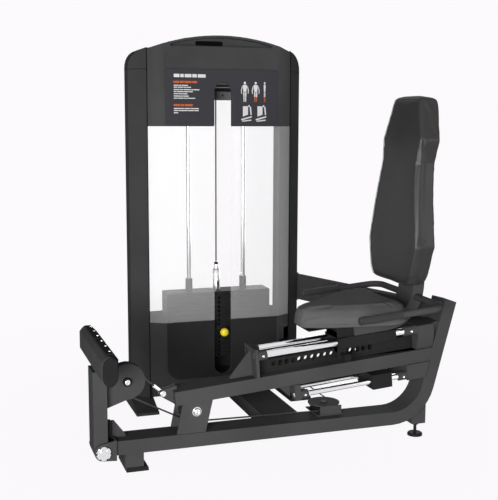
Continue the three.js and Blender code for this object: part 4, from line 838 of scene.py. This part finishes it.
# The left foot's sole: a rubber shoe pushed over the bolted foot's plate.
sole_line = [
    (81, 0.2), (158, 0.2), (158.6, 3), (158, 12), (155, 15), (84, 15), (81, 12), (80.4, 3),
]
sole = closed_skin(placed(plate(sole_line, -47, 104)))
piece("foot_sole", [sole], "frame", rubber)


# The cable's end on the stack: a plated ferrule screwed on the stem, with a tapered sleeve
# pressed on the cable.
ferrule = [
    (16.6, 481.6, 0), (16.6, 486, 0), (15.5, 487, 0), (15.5, 568, 0), (13, 572, 0),
    (9, 573, 0), (8.6, 588, 0), (4.6, 603, 0), (3.3, 604.5, 0),
]
piece("cable_ferrule", [
    closed_skin(placed(turned(ferrule) + (stack_x, stack_y, 0))),
], "lifted_stack", chrome)


# The tower's trim: a darker moulded panel on the lower cover, rubber seams where the covers
# meet the columns, a joint line round each column's cap, and a bare black name plate.
def on_tower(points):
    """Millimetres from the middle of the tower's front face, to metres."""
    return placed(np.asarray(points, float) + (stack_x, tower_front, 0))


def tower_sheet(outline, front, back, eased=0.8):
    """The closed skin of a flat plate that lies square to the tower's front."""
    return closed_skin(on_tower(plate(outline, front, back, eased)))


def corner(centre, radius, quarter, steps=9):
    """A quarter circle of an outline, counted from the right and anticlockwise."""
    angle = (quarter + np.linspace(0, 1, steps)) * np.pi / 2
    return np.stack([centre[0] + radius * np.cos(angle), centre[1] + radius * np.sin(angle)], 1)


dark_panel = powder_coat("dark_panel", (0.026, 0.026, 0.0265), 0.5, 0.04)
panel_line = np.concatenate([
    [(-240, 368)], corner((-182, 183), 58, 2), corner((182, 183), 58, 3), [(240, 368), (36.5, 368)],
    corner((0, 173), 36.5, 3)[::-1], corner((0, 173), 36.5, 2)[::-1], [(-36.5, 368)],
])
panel_line = panel_line[np.append(True, np.linalg.norm(np.diff(panel_line, axis=0), axis=1) > 0.01)]
panel_face, panel_back = -3.2, -1.9
panel = tower_sheet(panel_line, panel_face, panel_back)
piece("cover_panel", [panel], "frame", dark_panel)

seam_rubber = new_finish("seam_rubber", (0.006, 0.006, 0.006), 0.8, Specular_IOR_Level=0.05)
emboss(seam_rubber, texture(seam_rubber, "Noise", 800, Detail=2), 0.0001)
seam_side, seam_front, seam_back, seam_foot, seam_top = 307, 32.4, 229.6, 46, 1484
over = np.linspace(0, 1, 30)
seams = []
for side in (-1, 1):
    front = np.stack([
        np.full(60, side * seam_side), np.full(60, seam_front),
        np.linspace(seam_foot, seam_top, 60),
    ], 1)
    top = np.stack([np.full(30, side * seam_side), 34 + 194 * over, np.full(30, 1486.4)], 1)
    back = front[::-1] * (1, 0, 1) + (0, seam_back, 0)
    seams.append(closed_skin(on_tower(tube(np.concatenate([front, top, back]), 2.0, 8))))
    joint = np.array([(308, 33.6), (372.2, 96), (372.2, 166), (308, 228.4)])
    legs = [np.linspace(a, b, 12)[:-1] for a, b in zip(joint, joint[1:])]
    reach = np.concatenate([*legs, joint[-1:]])
    cap = np.column_stack([side * reach[:, 0], reach[:, 1], np.full(len(reach), 1404.0)])
    seams.append(closed_skin(on_tower(tube(cap, 0.9, 8))))
piece("tower_seams", seams, "frame", seam_rubber)

gloss_black = new_finish(
    "gloss_black", (0.003, 0.003, 0.003), 0.4, Specular_IOR_Level=0.0, Coat_Weight=0.04,
)
dull(gloss_black, texture(gloss_black, "Noise", 30, Detail=3), 0.35, 0.45)
emboss(gloss_black, texture(gloss_black, "Noise", 120, Detail=2), 0.00002)
pill = np.concatenate([
    corner((-102, 1505), 6, 2), corner((0, 1505), 6, 3), corner((0, 1511), 6, 0),
    corner((-102, 1511), 6, 1),
])
name_face, name_back = 18.5, 21.8
bare_plate = tower_sheet(pill, name_face, name_back)
piece("name_plate", [bare_plate], "frame", gloss_black)


# The rear brace of the selector slot: a grey folded plate across the tower behind the placard, held
# by one small screw, under the thin lip of the head's floor. The lip takes the same light grey,
# lighter than the head's own coat, as a painted highlight along its edge.
brace_grey_and_lip_highlight = powder_coat("brace_grey_and_lip_highlight", (0.13, 0.13, 0.131), 0.5, 0.03)
brace_line = [(-14, 1284), (92, 1284), (92, 1320), (-14, 1320)]
lip_line = [(-35, 1331), (40, 1331), (40, 1335), (-35, 1335)]
brace_face, brace_back, lip_face, lip_back = 125, 127, 8, 16
piece("slot_brace", [
    tower_sheet(brace_line, brace_face, brace_back), tower_sheet(lip_line, lip_face, lip_back),
], "frame", brace_grey_and_lip_highlight)
screw_place = (stack_x + 38, tower_front + brace_face, 1304)
piece("slot_screw", [
    screw(screw_place, near, 4, 2.2, 1.8, 1.4),
], "frame", nylon)


# The placard's print: a plain title of dashes, two orange headings over rows of fine lines,
# three plain figures and two outlines of a machine, all silk-screened.
ink_white = new_finish("ink_white", (0.62, 0.62, 0.62), 0.6, Specular_IOR_Level=0.1)
ink_orange = new_finish("ink_orange", (0.5, 0.1, 0.03), 0.6, Specular_IOR_Level=0.1)
for ink in (ink_white, ink_orange):
    dull(ink, texture(ink, "Noise", 60, Detail=3), 0.5, 0.7)
    emboss(ink, texture(ink, "Noise", 900, Detail=2), 0.00003)


print_face, print_back, print_ease = -3.75, -3.3, 0.1


def print_shape(outline):
    """A printed patch of any outline, let a little into the placard's face."""
    return tower_sheet(outline, print_face, print_back, print_ease)


def print_bar(left, right, low, high):
    """A printed bar."""
    return print_shape([(left, low), (right, low), (right, high), (left, high)])


def dashes(left, right, low, high, widths, space):
    """A row of bars of the given relative widths with even spaces between them."""
    widths = np.asarray(widths, float)
    scale = (right - left - space * (len(widths) - 1)) / widths.sum()
    start = left + np.concatenate([[0], np.cumsum(widths * scale + space)[:-1]])
    return [print_bar(x, x + w, low, high) for x, w in zip(start, widths * scale)]


def round_mark(across, up, wide, high):
    """A printed oval."""
    angle = np.linspace(0, 2 * np.pi, 20, endpoint=False)
    return print_shape(np.stack([across + wide * np.cos(angle), up + high * np.sin(angle)], 1))


white = dashes(-205, -73, 1371, 1384, (5, 3, 6, 4, 7), 4)
for level, end, words in (
    (1339, -147, (4, 2, 5)), (1331.5, -134, (3, 5, 2, 4)), (1322, -99, (5, 3, 6, 2, 5)),
    (1314, -127, (2, 6, 4, 3)), (1305.5, -149, (4, 3, 4)), (1296.5, -144, (6, 2, 4)),
    (1288, -117, (3, 4, 2, 6)), (1247, -102, (5, 2, 4, 6)), (1239, -102, (3, 6, 4, 3)),
    (1230, -188, (4,)),
):
    white += dashes(-205.5, end, level - 1.9, level + 1.9, words, 2)
orange = dashes(-207, -109, 1348.5, 1356.5, (5, 3, 6, 4), 3)
orange += dashes(-206, -127, 1256.5, 1264.5, (4, 2, 5), 3)


def figure(across, w):
    """A standing figure of plain patches: an oval head, a tapered trunk, two arms held a little
    away and two legs; w is its width, from 1 in front view to less towards a side view."""
    marks = [round_mark(across, 1352, 4.6 * (0.5 + 0.5 * w), 5.6)]
    marks.append(print_shape([
        (across - 10 * w, 1342), (across - 6 * w, 1316), (across + 6 * w, 1316),
        (across + 10 * w, 1342), (across + 3, 1345), (across - 3, 1345),
    ]))
    for side in (-1, 1):
        if w > 0.6:
            marks.append(print_shape([
                (across + side * 12 * w, 1341), (across + side * 17 * w, 1322),
                (across + side * 15 * w, 1308), (across + side * 12.6 * w, 1309),
                (across + side * 13.4 * w, 1322), (across + side * 10.8 * w, 1334),
            ]))
        marks.append(print_shape([
            (across + side * 7 * w, 1314.5), (across + side * 6.4 * w, 1296),
            (across + side * 1.2 * w, 1296), (across + side * 1.2 * w, 1314.5),
        ]))
    return marks


for across, w, calf in ((94, 1, white), (141, 1, orange), (180, 0.45, orange)):
    white += figure(across, w)
    for side in (-1, 1):
        calf.append(print_shape([
            (across + side * 6 * w, 1294.8), (across + side * 5.2 * w, 1276),
            (across + side * 1.8 * w, 1276), (across + side * 1.2 * w, 1294.8),
        ]))
for left in (78, 141):
    white += [
        print_shape([(left + 8, 1258), (left + 30, 1258), (left + 30, 1224), (left + 8, 1216)]),
        print_shape([(left + 37, 1256), (left + 43, 1256), (left + 46, 1224), (left + 41, 1222)]),
        print_shape([(left, 1206), (left + 46, 1218), (left + 47, 1213), (left + 2, 1200)]),
        print_shape([(left + 4, 1199), (left + 44, 1204), (left + 44, 1199), (left + 6, 1195)]),
        round_mark(left + 34.5, 1259, 3.4, 3.8),
    ]
piece("placard_white_print", white, "frame", ink_white)
piece("placard_orange_print", orange, "frame", ink_orange)
